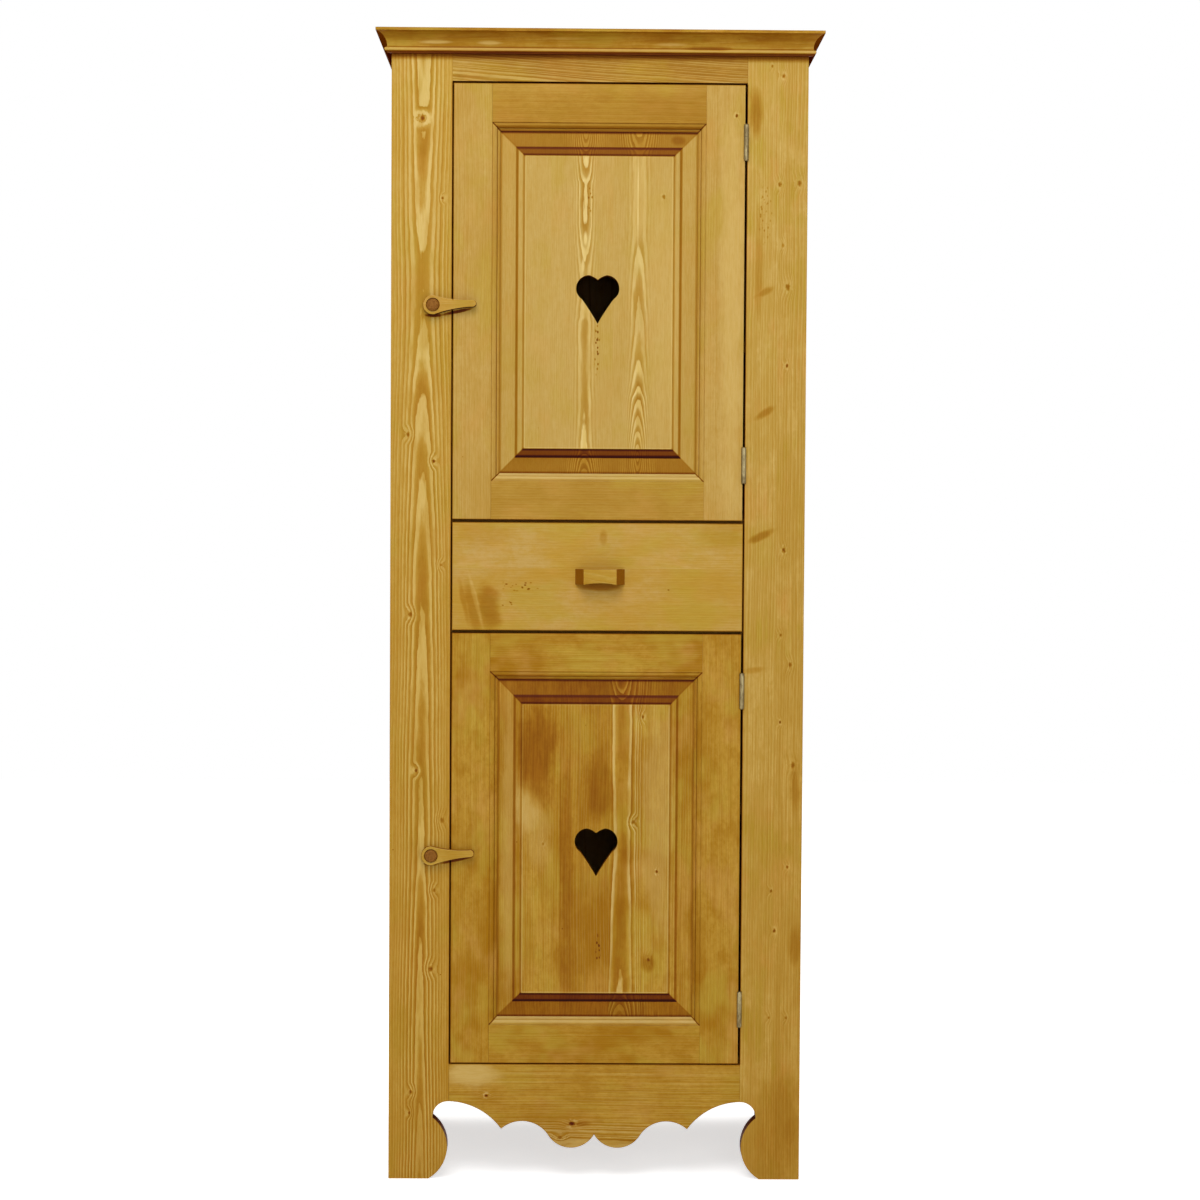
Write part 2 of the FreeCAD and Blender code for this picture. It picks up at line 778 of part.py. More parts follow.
def door_rail(label, x_left, x_right, outer, inward):
    """A door rail. Inward is 1 for the bottom rail and -1 for the top rail."""
    flat = outer + size.door_frame_width * inward
    edge = outer + member * inward
    flat_left, flat_right = x_left + size.door_frame_width, x_right - size.door_frame_width
    piece = Piece(label)
    piece.add("Y", [
        (flat_left, outer), (flat_right, outer), (flat_right, flat), (x_right - member, edge),
        (x_left + member, edge), (flat_left, flat),
    ], front, face_back)
    piece.cut("X", swapped(moulding_cut(edge, -inward, size.overrun)),
              flat_left - size.overrun, flat_right + size.overrun)
    groove_end, beyond = edge - size.groove_depth * inward, edge + size.overrun * inward
    groove = rectangle(groove_front, groove_back, groove_end, beyond)
    piece.cut("X", groove, flat_left, flat_right)
    tenon = size.tenon_length - size.panel_room
    low, high = outer + size.tenon_shoulder * inward, flat
    for begin, end in ((flat_left - tenon, flat_left), (flat_right, flat_right + tenon)):
        piece.add("Y", rectangle(begin, end, low, high), groove_front, groove_back)
    return piece


def panel_cut(edge, inward, overrun):
    """Waste to remove along one edge of a panel. Edge is the sight edge, inward points to the middle."""
    tongue_face = groove_front + size.panel_clearance
    bevel_end = edge + size.bevel_width * inward
    bevel_top = tongue_face - size.bevel_rise
    field_edge = bevel_end + size.field_moulding_width * inward
    field_face = front + size.panel_set_back
    quirk_face = field_face + size.field_quirk
    bulge = (bevel_end + size.field_moulding_width * inward * FIELD_BULGE_SHARES[0],
             bevel_top - (bevel_top - quirk_face) * FIELD_BULGE_SHARES[1])
    start = edge - (size.groove_depth + overrun) * inward
    return [
        (start, front - overrun),
        (start, tongue_face),
        (edge, tongue_face),
        (bevel_end, bevel_top),
        (field_edge, quirk_face) + bulge,
        (field_edge, front - overrun),
    ]


def heart_outline(centre, tip):
    """A heart: two lobes that meet in a cleft, and flanks that hollow slightly to the tip."""
    def place(shares, side=1):
        return (centre + size.heart_width / 2 * shares[0] * side, tip + size.heart_height * shares[1])
    return [
        place(HEART_WAIST_SHARES) + place(HEART_FLANK_SHARES),
        place(HEART_SIDE_SHARES) + place(HEART_HIP_SHARES),
        place(HEART_LOBE_TOP_SHARES) + place(HEART_CHEEK_SHARES),
        place(HEART_CLEFT_SHARES) + place(HEART_LOBE_INSIDE_SHARES),
        place(HEART_LOBE_TOP_SHARES, -1) + place(HEART_LOBE_INSIDE_SHARES, -1),
        place(HEART_SIDE_SHARES, -1) + place(HEART_CHEEK_SHARES, -1),
        place(HEART_WAIST_SHARES, -1) + place(HEART_HIP_SHARES, -1),
        (centre, tip) + place(HEART_FLANK_SHARES, -1),
    ]


def door_panel(label, x_left, x_right, base, top, heart_across, heart_rise):
    room = size.groove_depth - size.panel_room
    sight = (x_left + member, x_right - member, base + member, top - member)
    piece = Piece(label)
    outline = rectangle(sight[0] - room, sight[1] + room, sight[2] - room, sight[3] + room)
    piece.add("Y", outline, front + size.panel_set_back, groove_back - size.panel_clearance)
    for edge, inward in ((sight[0], 1), (sight[1], -1)):
        piece.cut("Z", panel_cut(edge, inward, size.overrun), base, top)
    for edge, inward in ((sight[2], 1), (sight[3], -1)):
        piece.cut("X", swapped(panel_cut(edge, inward, size.overrun)), x_left, x_right)
    centre = (x_left + x_right) / 2 + heart_across
    tip = (base + top) / 2 + heart_rise - size.heart_height / 2
    piece.cut("Y", heart_outline(centre, tip), front - size.overrun, groove_back + size.overrun)
    return piece


ALONG_X = FreeCAD.Rotation(FreeCAD.Vector(0, 0, 1), FreeCAD.Vector(1, 0, 0))
AGAINST_X = FreeCAD.Rotation(FreeCAD.Vector(0, 0, 1), FreeCAD.Vector(-1, 0, 0))
AGAINST_Y = FreeCAD.Rotation(FreeCAD.Vector(0, 0, 1), FreeCAD.Vector(0, -1, 0))


def leaf(label, side, height):
    """One hinge leaf with its knuckles: two outer ones on the frame (side 1), the middle one on the door."""
    wood_edge = opening if side > 0 else door_right
    plate_x = (wood_edge, wood_edge + size.leaf_thickness) if side > 0 else (
        wood_edge - size.leaf_thickness, wood_edge)
    low, high = height - size.hinge_length / 2, height + size.hinge_length / 2
    third = size.hinge_length / 3
    clear = hinge_y + size.barrel_radius + size.knuckle_gap
    spans = [(low, low + third), (high - third, high)] if side > 0 else [
        (low + third + size.knuckle_gap, high - third - size.knuckle_gap)]
    piece = Piece(label, keep=False)
    piece.add("Z", rectangle(plate_x[0], plate_x[1], clear, front + size.leaf_width), low, high)
    for span in spans:
        piece.add("Z", rectangle(plate_x[0], plate_x[1], hinge_y, clear), span[0], span[1])
        piece.add_round("Z", [(hinge_x, hinge_y)], size.barrel_radius, span[0], span[1])
    piece.cut_round("Z", [(hinge_x, hinge_y)], size.hinge_pin_radius + size.pin_clearance,
                    low - size.overrun, high + size.overrun)
    holes = [(front + size.leaf_width / 2, place) for place in screw_heights(height)]
    piece.cut_round("X", holes, size.screw_radius + size.leaf_clearance,
                    plate_x[0] - size.overrun, plate_x[1] + size.overrun)
    cutters = doc.addObject("Part::Compound", label + "_countersinks")
    cutters.Links = [cone("%s_countersink_%d" % (label, number), size.screw_head_radius + size.leaf_clearance,
                          size.screw_radius + size.leaf_clearance, (wood_edge, y, z),
                          ALONG_X if side > 0 else AGAINST_X)
                     for number, (y, z) in enumerate(holes)]
    finished_leaf = doc.addObject("Part::Cut", label + "_countersunk")
    finished_leaf.Base = piece.body
    finished_leaf.Tool = cutters
    return finished_leaf


def hinge_pin(label, height):
    """A pin with a cap at each end, just clear of the outer knuckles."""
    end = size.hinge_length / 2 + size.pin_cap
    foot = size.hinge_length / 2 + size.pin_clearance
    foot_radius, end_radius = [size.barrel_radius * share for share in PIN_CAP_SHARES]
    pin = Piece(label, keep=False)
    pin.revolve("Z", [
        (ZERO, -end), (end_radius, -end), (foot_radius, -foot), (size.hinge_pin_radius, -foot),
        (size.hinge_pin_radius, foot), (foot_radius, foot), (end_radius, end), (ZERO, end),
    ])
    pin.move(hinge_x, hinge_y, height)
    return pin.body


def hinge_screws(label, side, heights):
    """Screws whose heads sit flush in the leaf and whose shanks run into the wood."""
    wood_edge = opening if side > 0 else door_right
    rotation = ALONG_X if side > 0 else AGAINST_X
    middle = front + size.leaf_width / 2
    members = []
    for pair, height in enumerate(heights):
        for number, place in enumerate(screw_heights(height)):
            name = "%s_%d_%d" % (label, pair, number)
            members.append(screw(name, (wood_edge, middle, place), size.screw_length, rotation))
    return members


frame_screws = []
for door, base, top, heart in (
        ("upper_door", upper_door_base, upper_door_top, (size.upper_heart_across, size.upper_heart_rise)),
        ("lower_door", lower_door_base, lower_door_top, (size.lower_heart_across, size.lower_heart_rise))):
    heights = hinge_heights[door]
    door_stile(door + "_latch_stile", door_left, 1, base, top)
    hinge_stile = door_stile(door + "_hinge_stile", door_right, -1, base, top)
    hinge_recess(hinge_stile, -1, door_right, heights)
    door_rail(door + "_bottom_rail", door_left, door_right, base, 1)
    door_rail(door + "_top_rail", door_left, door_right, top, -1)
    door_panel(door + "_panel", door_left, door_right, base, top, *heart)
    group(door + "_hinge_leaves", [leaf("%s_leaf_%d" % (door, n), -1, h) for n, h in enumerate(heights)])
    group(door + "_frame_leaves", [leaf("%s_frame_leaf_%d" % (door, n), 1, h) for n, h in enumerate(heights)])
    group(door + "_hinge_pins", [hinge_pin("%s_pin_%d" % (door, n), h) for n, h in enumerate(heights)])
    group(door + "_hinge_screws", hinge_screws(door + "_screw", -1, heights))
    frame_screws += hinge_screws(door + "_frame_screw", 1, heights)
group("frame_hinge_screws", frame_screws)

# Drawer: a front, two sides, a back and a thin bottom let into grooves

side_base = guide_base + size.drawer_clearance
side_top = side_base + size.drawer_side_height
box_back = back_face - size.drawer_back_room
bottom_low = side_base + size.drawer_bottom_raise
bottom_high = bottom_low + size.drawer_bottom_thickness
side_inner_x = drawer_half - size.drawer_side_thickness
rebate_y = face_back - size.drawer_rebate_depth

drawer_front = Piece("drawer_front")
drawer_front.add("Y", rectangle(-drawer_half, drawer_half, drawer_base, drawer_top), front, face_back)
for side in (-1, 1):
    inner, outer = side_inner_x * side, (drawer_half + size.overrun) * side
    drawer_front.cut("Y", rectangle(inner, outer, side_base, side_top), rebate_y, face_back + size.overrun)
groove_y = face_back - size.drawer_groove_depth
drawer_front.cut("Y", rectangle(-side_inner_x, side_inner_x, bottom_low, bottom_high),
                 groove_y, face_back + size.overrun)
pull_middle = (drawer_base + drawer_top) / 2
pull_holes = [(size.pull_across + size.pull_screw_spacing / 2 * side, pull_middle) for side in (-1, 1)]
pull_hole_radius = size.screw_radius + size.leaf_clearance
head_room = size.screw_head_radius - size.screw_radius
drawer_front.cut_round("Y", pull_holes, pull_hole_radius, front - size.overrun, face_back + size.overrun)
drawer_front.cut_round("Y", pull_holes, size.screw_head_radius + size.leaf_clearance,
                       face_back - head_room, face_back + size.overrun)

for label, side in (("drawer_left_side", -1), ("drawer_right_side", 1)):
    inner = side_inner_x * side
    span = (side_inner_x, drawer_half) if side > 0 else (-drawer_half, -side_inner_x)
    piece = Piece(label)
    piece.add("X", rectangle(rebate_y, box_back, side_base, side_top), span[0], span[1])
    groove_end = (side_inner_x + size.drawer_groove_depth) * side
    piece.cut("Y", rectangle(inner - size.overrun * side, groove_end, bottom_low, bottom_high),
              rebate_y - size.overrun, box_back + size.overrun)

box("drawer_back", (-side_inner_x, side_inner_x), (box_back - size.drawer_side_thickness, box_back),
    (bottom_high, side_top))
bottom_half = side_inner_x + size.drawer_groove_depth - size.panel_clearance
fit = size.panel_clearance
drawer_bottom = Piece("drawer_bottom")
drawer_bottom.add("Z", [
    (-side_inner_x + fit, groove_y + fit), (side_inner_x - fit, groove_y + fit),
    (side_inner_x - fit, face_back), (bottom_half, face_back), (bottom_half, box_back),
    (-bottom_half, box_back), (-bottom_half, face_back), (-side_inner_x + fit, face_back),
], bottom_low, bottom_high)

# Drawer pull: a block with slanted ends, hollowed under for the fingers

pull_low, pull_high = pull_middle - size.pull_height / 2, pull_middle + size.pull_height / 2
pull_front = front - size.pull_projection
drawer_pull = Piece("drawer_pull")
back_left, back_right = [size.pull_across + size.pull_back_width / 2 * side for side in (-1, 1)]
front_left, front_right = [size.pull_across + size.pull_front_width / 2 * side for side in (-1, 1)]
drawer_pull.add("Z", [
    (back_left, front), (back_right, front), (front_right, pull_front), (front_left, pull_front),
], pull_low, pull_high)
drawer_pull.cut("Y", [
    (front_left, pull_low - size.overrun), (front_right, pull_low - size.overrun), (front_right, pull_low),
    (front_left, pull_low, size.pull_across, pull_low + size.pull_arch_rise),
], pull_front - size.overrun, front + size.overrun)
drawer_pull.cut_round("X", [(front - size.pull_projection / 2, pull_low)], size.pull_grip_radius,
                      size.pull_across - size.pull_grip_reach, size.pull_across + size.pull_grip_reach)
screw_bite = size.pull_screw_bite
drawer_pull.cut_round("Y", pull_holes, pull_hole_radius, front - screw_bite, front + size.overrun)
pull_screw_length = face_back - front + screw_bite - size.leaf_clearance
group("drawer_pull_screws", [screw("pull_screw_%d" % number, (x, face_back, z), pull_screw_length, AGAINST_Y)
                             for number, (x, z) in enumerate(pull_holes)])

# Turn buttons on wooden pegs

def button_outline():
    """Front view of a turn button about its own pivot: a round end that tapers to a small round tip."""
    radius, tip, reach = size.latch_round_radius, size.latch_tip_radius, size.latch_reach

    def place(shares, side):
        return (reach * shares[0], radius * shares[1] * side)
    start = (radius * BUTTON_TANGENT_SHARES[0], radius * BUTTON_TANGENT_SHARES[1])
    return [
        (reach - tip, tip) + place(BUTTON_UPPER_SHARES, 1),
        (reach - tip, -tip, reach, ZERO),
        (start[0], -start[1]) + place(BUTTON_LOWER_SHARES, -1),
        start + (-radius, ZERO),
    ]


button_front = -size.latch_clearance - size.latch_thickness
recess_back = button_front + size.peg_recess
for label, height in latch_heights.items():
    button = Piece(label)
    button.add("Y", button_outline(), button_front, -size.latch_clearance)
    button.cut_round("Y", [(ZERO, ZERO)], peg_hole, button_front - size.overrun, size.overrun)
    button.cut_round("Y", [(ZERO, ZERO)], size.peg_head_radius + size.latch_clearance,
                     button_front - size.overrun, recess_back)
    tilt = FreeCAD.Rotation(FreeCAD.Vector(0, -1, 0), BUTTON_TILT_DEGREES[label])
    button.move(latch_x, front, height, tilt)
    peg = Piece(label + "_peg")
    head_back = front + recess_back - size.latch_clearance
    shank = front + size.peg_depth - head_back
    head, rise = size.peg_head_radius, size.peg_head_height
    turn = rise * EIGHTH_TURN_SHARE
    peg.revolve("Z", [
        (ZERO, -shank), (size.peg_radius, -shank), (size.peg_radius, ZERO), (head, ZERO),
        (head - rise, rise, head - rise + turn, turn), (ZERO, rise),
    ])
    peg.move(latch_x, head_back, height, AGAINST_Y)

doc.recompute()

# Check every object before anything is written
for item in doc.Objects:
    bad = [state for state in item.State if state in ("Invalid", "Error")]
    if bad:
        raise RuntimeError("%s is %s" % (item.Label, bad))
    if item.TypeId == "PartDesign::Pocket" and item.BaseFeature is not None:
        taken = item.BaseFeature.Shape.Volume - item.Shape.Volume
        if taken <= 0:
            raise RuntimeError("%s cuts nothing" % item.Label)
os.makedirs("parts", exist_ok=True)
for item in finished:
    if item.Shape.isNull() or not item.Shape.isValid():
        raise RuntimeError("%s has no valid shape" % item.Label)
for item in finished:
    item.Shape.exportStep("parts/%s.step" % item.Label)
print("%d sub-parts, %d solids" % (len(finished), sum(len(item.Shape.Solids) for item in finished)))
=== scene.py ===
# %% [markdown]
# # A tall country cupboard in honey-stained spruce
# The joinery is already made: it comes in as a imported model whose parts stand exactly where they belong.
# This lesson gives that joinery its looks. It eases the edges, runs the mouldings, drives the screws and
# nails, and stains the wood. Everything is in metres, Z is up, and the doors face towards -Y.

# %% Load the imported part
import json
import math

import bmesh
import bpy
from mathutils import Matrix, Vector

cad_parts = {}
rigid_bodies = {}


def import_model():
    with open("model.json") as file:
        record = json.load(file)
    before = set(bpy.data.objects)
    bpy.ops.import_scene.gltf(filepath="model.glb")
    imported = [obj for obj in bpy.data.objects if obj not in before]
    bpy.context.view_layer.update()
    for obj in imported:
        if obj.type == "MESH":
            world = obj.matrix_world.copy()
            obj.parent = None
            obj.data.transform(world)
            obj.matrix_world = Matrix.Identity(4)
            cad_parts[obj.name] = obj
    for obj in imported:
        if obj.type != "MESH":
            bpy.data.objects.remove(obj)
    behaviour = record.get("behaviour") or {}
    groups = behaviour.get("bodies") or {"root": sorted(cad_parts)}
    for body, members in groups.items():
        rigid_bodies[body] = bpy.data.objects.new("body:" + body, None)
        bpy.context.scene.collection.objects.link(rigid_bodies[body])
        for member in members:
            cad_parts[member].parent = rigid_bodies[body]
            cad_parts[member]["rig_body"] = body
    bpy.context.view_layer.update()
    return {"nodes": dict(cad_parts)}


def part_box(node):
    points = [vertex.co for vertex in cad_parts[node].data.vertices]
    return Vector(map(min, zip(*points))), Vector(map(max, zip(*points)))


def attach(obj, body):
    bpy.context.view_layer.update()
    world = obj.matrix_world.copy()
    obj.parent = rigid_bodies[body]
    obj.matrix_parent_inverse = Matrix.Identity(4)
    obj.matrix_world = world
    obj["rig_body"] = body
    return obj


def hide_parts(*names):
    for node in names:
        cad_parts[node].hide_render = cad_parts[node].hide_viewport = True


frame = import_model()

MM = 0.001

# %% [markdown]
# ## Camera
# The cupboard is seen almost square-on, from chest height and a little over four metres away. A camera
# could be placed by eye, but this one was worked out from about thirty edges of the front, so that the
# edges of the model fall where they should. It is turned by hand-made axes: forward, right and up.

# %% Set up the camera
EYE = Vector((-44.7, -4306.5, 1159.0)) * MM
PITCH_DOWN, YAW_RIGHT, ROLL = (math.radians(turn) for turn in (1.993, 0.693, 0.351))
FOCAL_PIXELS, FRAME_PIXELS, SENSOR_MM = 2355.4, 1200, 36

forward = Vector((math.sin(YAW_RIGHT) * math.cos(PITCH_DOWN), math.cos(YAW_RIGHT) * math.cos(PITCH_DOWN),
                  -math.sin(PITCH_DOWN)))
level_right = Vector((math.cos(YAW_RIGHT), -math.sin(YAW_RIGHT), 0))
level_up = level_right.cross(forward)
right = level_right * math.cos(ROLL) + level_up * math.sin(ROLL)
up = level_up * math.cos(ROLL) - level_right * math.sin(ROLL)

camera = bpy.data.objects.new("camera", bpy.data.cameras.new("camera"))
camera.data.sensor_width = SENSOR_MM
camera.data.lens = FOCAL_PIXELS * SENSOR_MM / FRAME_PIXELS
camera.matrix_world = Matrix.Translation(EYE) @ Matrix((right, up, -forward)).transposed().to_4x4()
bpy.context.scene.collection.objects.link(camera)
bpy.context.scene.camera = camera
print("lens, mm:", round(camera.data.lens, 2))

# %% [markdown]
# ## A few tools for wiring a finish
# A finish in Blender is a tree of small nodes. Wiring each one by hand takes many lines, so these short
# helpers add a node, feed its sockets with a number, a colour or another node's output, and hand back
# what comes out. Colours are written as they are seen, 0 to 255, and turned into light values. Sums on what
# comes out could each name a Math node too, but they read far better with the plain signs, + and * and so
# on, so Blender's outlets are taught to make those nodes themselves.

# %% Make the wiring tools
bpy.context.scene.view_settings.view_transform = "Standard"


def paint(red, green, blue):
    """A colour as it is seen, 0 to 255, as the light values that a shader wants."""
    light = []
    for share in (red / 255, green / 255, blue / 255):
        light.append(((share + 0.055) / 1.055) ** 2.4 if share > 0.0405 else share / 12.92)
    return (*light, 1.0)


def feed(tree, socket, value):
    """Gives a socket a plain value or another node's output."""
    if isinstance(value, bpy.types.NodeSocket):
        tree.links.new(value, socket)
    else:
        socket.default_value = value


def add(tree, kind, outlet=0, inlets=None, **settings):
    """Adds a node with its settings, feeds its inlets, and hands back one outlet."""
    made = tree.nodes.new("ShaderNode" + kind)
    for key, value in settings.items():
        setattr(made, key, value)
    for inlet, value in (inlets or {}).items():
        feed(tree, made.inputs[inlet], value)
    return made.outputs[outlet]


def calc(tree, operation, *values):
    """One sum on numbers."""
    return add(tree, "Math", operation=operation, inlets=dict(enumerate(values)))


def teach_plain_sums():
    """Lets a node's outlet be added, multiplied and so on with the plain signs, as a number is."""
    for sign, operation in (("add", "ADD"), ("sub", "SUBTRACT"), ("mul", "MULTIPLY"), ("truediv", "DIVIDE"),
                            ("pow", "POWER")):
        def before(one, other, operation=operation):
            return calc(one.id_data, operation, one, other)

        def after(one, other, operation=operation):
            return calc(one.id_data, operation, other, one)

        setattr(bpy.types.NodeSocket, f"__{sign}__", before)
        setattr(bpy.types.NodeSocket, f"__r{sign}__", after)
    bpy.types.NodeSocket.__abs__ = lambda one: calc(one.id_data, "ABSOLUTE", one)


teach_plain_sums()


def fade(tree, value, low, high, at_low=0.0, at_high=1.0):
    """A soft step from one value to another."""
    return add(tree, "MapRange", interpolation_type="SMOOTHSTEP", inlets={
        "Value": value, "From Min": low, "From Max": high, "To Min": at_low, "To Max": at_high})


def tint(tree, share, first, second, way="MIX"):
    """Mixes the second colour over the first."""
    return add(tree, "Mix", 2, data_type="RGBA", blend_type=way, inlets={0: share, 6: first, 7: second})


def cloud(tree, place, scale, stretch=(1, 1, 1), detail=2.0, roughness=0.5, seed=0.0, outlet="Fac"):
    """Noise whose cells are as many times longer as the stretch says."""
    place = add(tree, "VectorMath", operation="MULTIPLY",
                inlets={0: place, 1: [scale / long for long in stretch]})
    return add(tree, "TexNoise", outlet, noise_dimensions="4D", inlets={
        "Vector": place, "W": seed, "Scale": 1.0, "Detail": detail, "Roughness": roughness})


def new_finish(name):
    """An empty material, its tree and its shader."""
    finish = bpy.data.materials.new(name)
    finish.use_nodes = True
    return finish, finish.node_tree, finish.node_tree.nodes["Principled BSDF"]


# %% [markdown]
# ## Floor, backdrop and light
# A studio would stand the cupboard on white paper under a large lamp overhead, with a weaker one in front.
# The paper and the air behind look white to the camera, but they don't light the wood any more for that:
# the Light Path node tells the eye's rays from the light's. The paper still takes the cupboard's shadow.

# %% Build the studio
FLOOR_HALF = 6.0
PAPER_GLOW = 0.64


def seen_by_eye(tree):
    """1 for rays that show the backdrop, directly, in a gloss or through glass, and 0 for the rest."""
    path = tree.nodes.new("ShaderNodeLightPath").outputs
    first = calc(tree, "MAXIMUM", path["Is Camera Ray"], path["Is Glossy Ray"])
    return calc(tree, "MAXIMUM", first, path["Is Transmission Ray"])


floor_mesh = bpy.data.meshes.new("floor")
corners = [(x * FLOOR_HALF, y * FLOOR_HALF, 0) for x, y in ((-1, -1), (1, -1), (1, 1), (-1, 1))]
floor_mesh.from_pydata(corners, [], [(0, 1, 2, 3)])
floor = bpy.data.objects.new("floor", floor_mesh)
bpy.context.scene.collection.objects.link(floor)

white_paper, tree, shader = new_finish("white_paper")
feed(tree, shader.inputs["Base Color"], paint(243, 243, 242))
shader.inputs["Roughness"].default_value = 0.9
shader.inputs["Specular IOR Level"].default_value = 0.0
feed(tree, shader.inputs["Emission Color"], (1, 1, 1, 1))
feed(tree, shader.inputs["Emission Strength"], seen_by_eye(tree) * PAPER_GLOW)
floor_mesh.materials.append(white_paper)

ROOM_LIGHT = 0.40
world = bpy.data.worlds.new("studio")
world.use_nodes = True
bpy.context.scene.world = world
tree = world.node_tree
sky = tree.nodes["Background"]
feed(tree, sky.inputs["Color"], (1, 1, 1, 1))
feed(tree, sky.inputs["Strength"], fade(tree, seen_by_eye(tree), 0.0, 1.0, ROOM_LIGHT, 1.0))


def soft_lamp(name, spot, aim, size, watts):
    """A square lamp with a white cloth, turned to its aim."""
    lamp = bpy.data.objects.new(name, bpy.data.lights.new(name, "AREA"))
    lamp.data.shape, lamp.data.size, lamp.data.energy = "SQUARE", size, watts
    lamp.location = spot
    lamp.rotation_mode = "QUATERNION"
    lamp.rotation_quaternion = (Vector(aim) - Vector(spot)).to_track_quat("-Z", "Y")
    bpy.context.scene.collection.objects.link(lamp)


soft_lamp("overhead", (-0.5, -2.6, 3.9), (0, 0, 1.15), 2.2, 70)
soft_lamp("front", (0.9, -5.2, 2.0), (0, 0, 1.0), 2.6, 52)
soft_lamp("back_left", (-3.2, 3.4, 3.2), (0, 0, 1.0), 2.6, 90)
soft_lamp("back_right", (3.9, 1.6, 2.6), (0, 0, 1.0), 2.6, 60)

# %% [markdown]
# ## Spruce, seen as rings
# A board is a flat cut through a log, and every line on it is a yearly ring. So the figure is drawn as the
# real one comes about: how far is this point from the heart of the tree, counted in rings? Where the cut
# runs close to a ring the line widens into a tall flame, and away from the heart it becomes fine straight
# lines. An image could be laid on instead, but it would not go round corners onto the end grain.
# The stain went into the soft spring wood and not into the hard autumn wood, so the rings' lines are pale.

# %% Build the figure of a board
WANDER, WAVE, RIPPLE, SHIVER = 5 * MM, 1.2 * MM, 0.8 * MM, 0.5 * MM


def figure_group():
    """A node group that turns a place on a board, and the heart's depth there, into the yearly rings."""
    tree = bpy.data.node_groups.new("spruce_rings", "ShaderNodeTree")
    face = tree.interface
    face.new_socket("Place", in_out="INPUT", socket_type="NodeSocketVector")
    for name in ("Heart Across", "Heart Depth", "Wander", "Unevenness", "Flame Reach", "Ring Width", "Seed",
                 "Push"):
        face.new_socket(name, in_out="INPUT", socket_type="NodeSocketFloat")
    for name in ("Line", "Tone", "Spring", "Flame"):
        face.new_socket(name, in_out="OUTPUT", socket_type="NodeSocketFloat")
    given = tree.nodes.new("NodeGroupInput").outputs
    out = tree.nodes.new("NodeGroupOutput").inputs

    def sway(texture, size):
        """A noise made even on both sides of nought, at a size."""
        return (texture - 0.5) * size

    split = tree.nodes.new("ShaderNodeSeparateXYZ")
    feed(tree, split.inputs[0], given["Place"])
    drift = tree.nodes.new("ShaderNodeSeparateColor")
    drifting = cloud(tree, given["Place"], 3.0, (3, 3, 1), 1.0, 0.5, given["Seed"], "Color")
    feed(tree, drift.inputs[0], drifting)
    wander = given["Wander"] * (2 * WANDER)
    offset = split.outputs[0] - given["Heart Across"] + sway(drift.outputs[0], wander)
    depth = given["Heart Depth"] + sway(drift.outputs[1], wander)
    reach = calc(tree, "SQRT", offset * offset + depth * depth)
    reach = reach + sway(cloud(tree, given["Place"], 22.0, (1, 1, 5), 2.0, 0.5, given["Seed"]), 2 * WAVE)
    reach = reach + sway(cloud(tree, given["Place"], 80.0, (1, 1, 2.5), 2.0, 0.5, given["Seed"]), 2 * RIPPLE)
    reach = reach + sway(cloud(tree, given["Place"], 260.0, (1, 1, 9), 2.0, 0.6, given["Seed"]), 2 * SHIVER)
    ring = (reach + given["Push"]) / given["Ring Width"]
    uneven = add(tree, "TexNoise", noise_dimensions="1D",
                 inlets={"W": ring * 0.37 + given["Seed"], "Scale": 1.0, "Detail": 1.0})
    ring = ring + sway(uneven, given["Unevenness"] * 2.2)
    year = calc(tree, "FLOOR", ring)
    season = ring - year
    tone = add(tree, "TexWhiteNoise", noise_dimensions="1D", inlets={"W": year + given["Seed"]})
    flame = fade(tree, abs(offset) / given["Flame Reach"], 0.1, 1.0, 1.0, 0.0)
    autumn = 0.42 + tone * 0.35 - flame * 0.22
    line = fade(tree, season, autumn, autumn + 0.26) * fade(tree, season, 0.93, 1.0, 1.0, 0.0)
    patchy = cloud(tree, given["Place"], 60.0, (1, 1, 5), 2.0, 0.5, given["Seed"])
    line = line * fade(tree, patchy, 0.34, 0.52, 0.4, 1.0)
    feed(tree, out["Line"], line * fade(tree, tone, 0.0, 1.0, 0.45, 1.0))
    feed(tree, out["Tone"], tone)
    feed(tree, out["Spring"], fade(tree, season, 0.0, 0.6, 1.0, 0.0))
    feed(tree, out["Flame"], flame)
    return tree


spruce_rings = figure_group()
print("ring figure:", len(spruce_rings.nodes), "nodes")

# %% [markdown]
# ## Stain in coats
# Stain isn't paint. It is a clear brown film that swallows blue light first, then green, and red last, and
# two coats swallow twice as much. Mixing brown over yellow would turn it grey and pinkish. So the stain in
# hollows, edges and end grain is counted in coats. So are the painted shade and painted shadows laid under
# mouldings, latches and the pull and on faces that look down. Each coat takes its share of every colour of
# light.

# %% Make the coats of stain
ONE_COAT = (0.25, 0.08, 0.0012)


def coat_group():
    """A node group that lays a number of coats of stain on a colour."""
    tree = bpy.data.node_groups.new("stain_coats", "ShaderNodeTree")
    tree.interface.new_socket("Colour", in_out="INPUT", socket_type="NodeSocketColor")
    tree.interface.new_socket("Coats", in_out="INPUT", socket_type="NodeSocketFloat")
    tree.interface.new_socket("Stained", in_out="OUTPUT", socket_type="NodeSocketColor")
    given = tree.nodes.new("NodeGroupInput").outputs
    bare = tree.nodes.new("ShaderNodeSeparateColor")
    feed(tree, bare.inputs[0], given["Colour"])
    stained = {number: bare.outputs[number] * let_through ** given["Coats"]
               for number, let_through in enumerate(ONE_COAT)}
    feed(tree, tree.nodes.new("NodeGroupOutput").inputs[0], add(tree, "CombineColor", inlets=stained))
    return tree


stain_coats = coat_group()


def lay_coats(tree, coats, colour):
    """Lays coats over a colour: stain, and painted shade where the coats stand for it."""
    node = tree.nodes.new("ShaderNodeGroup")
    node.node_tree = stain_coats
    feed(tree, node.inputs["Colour"], colour)
    feed(tree, node.inputs["Coats"], coats)
    return node.outputs[0]
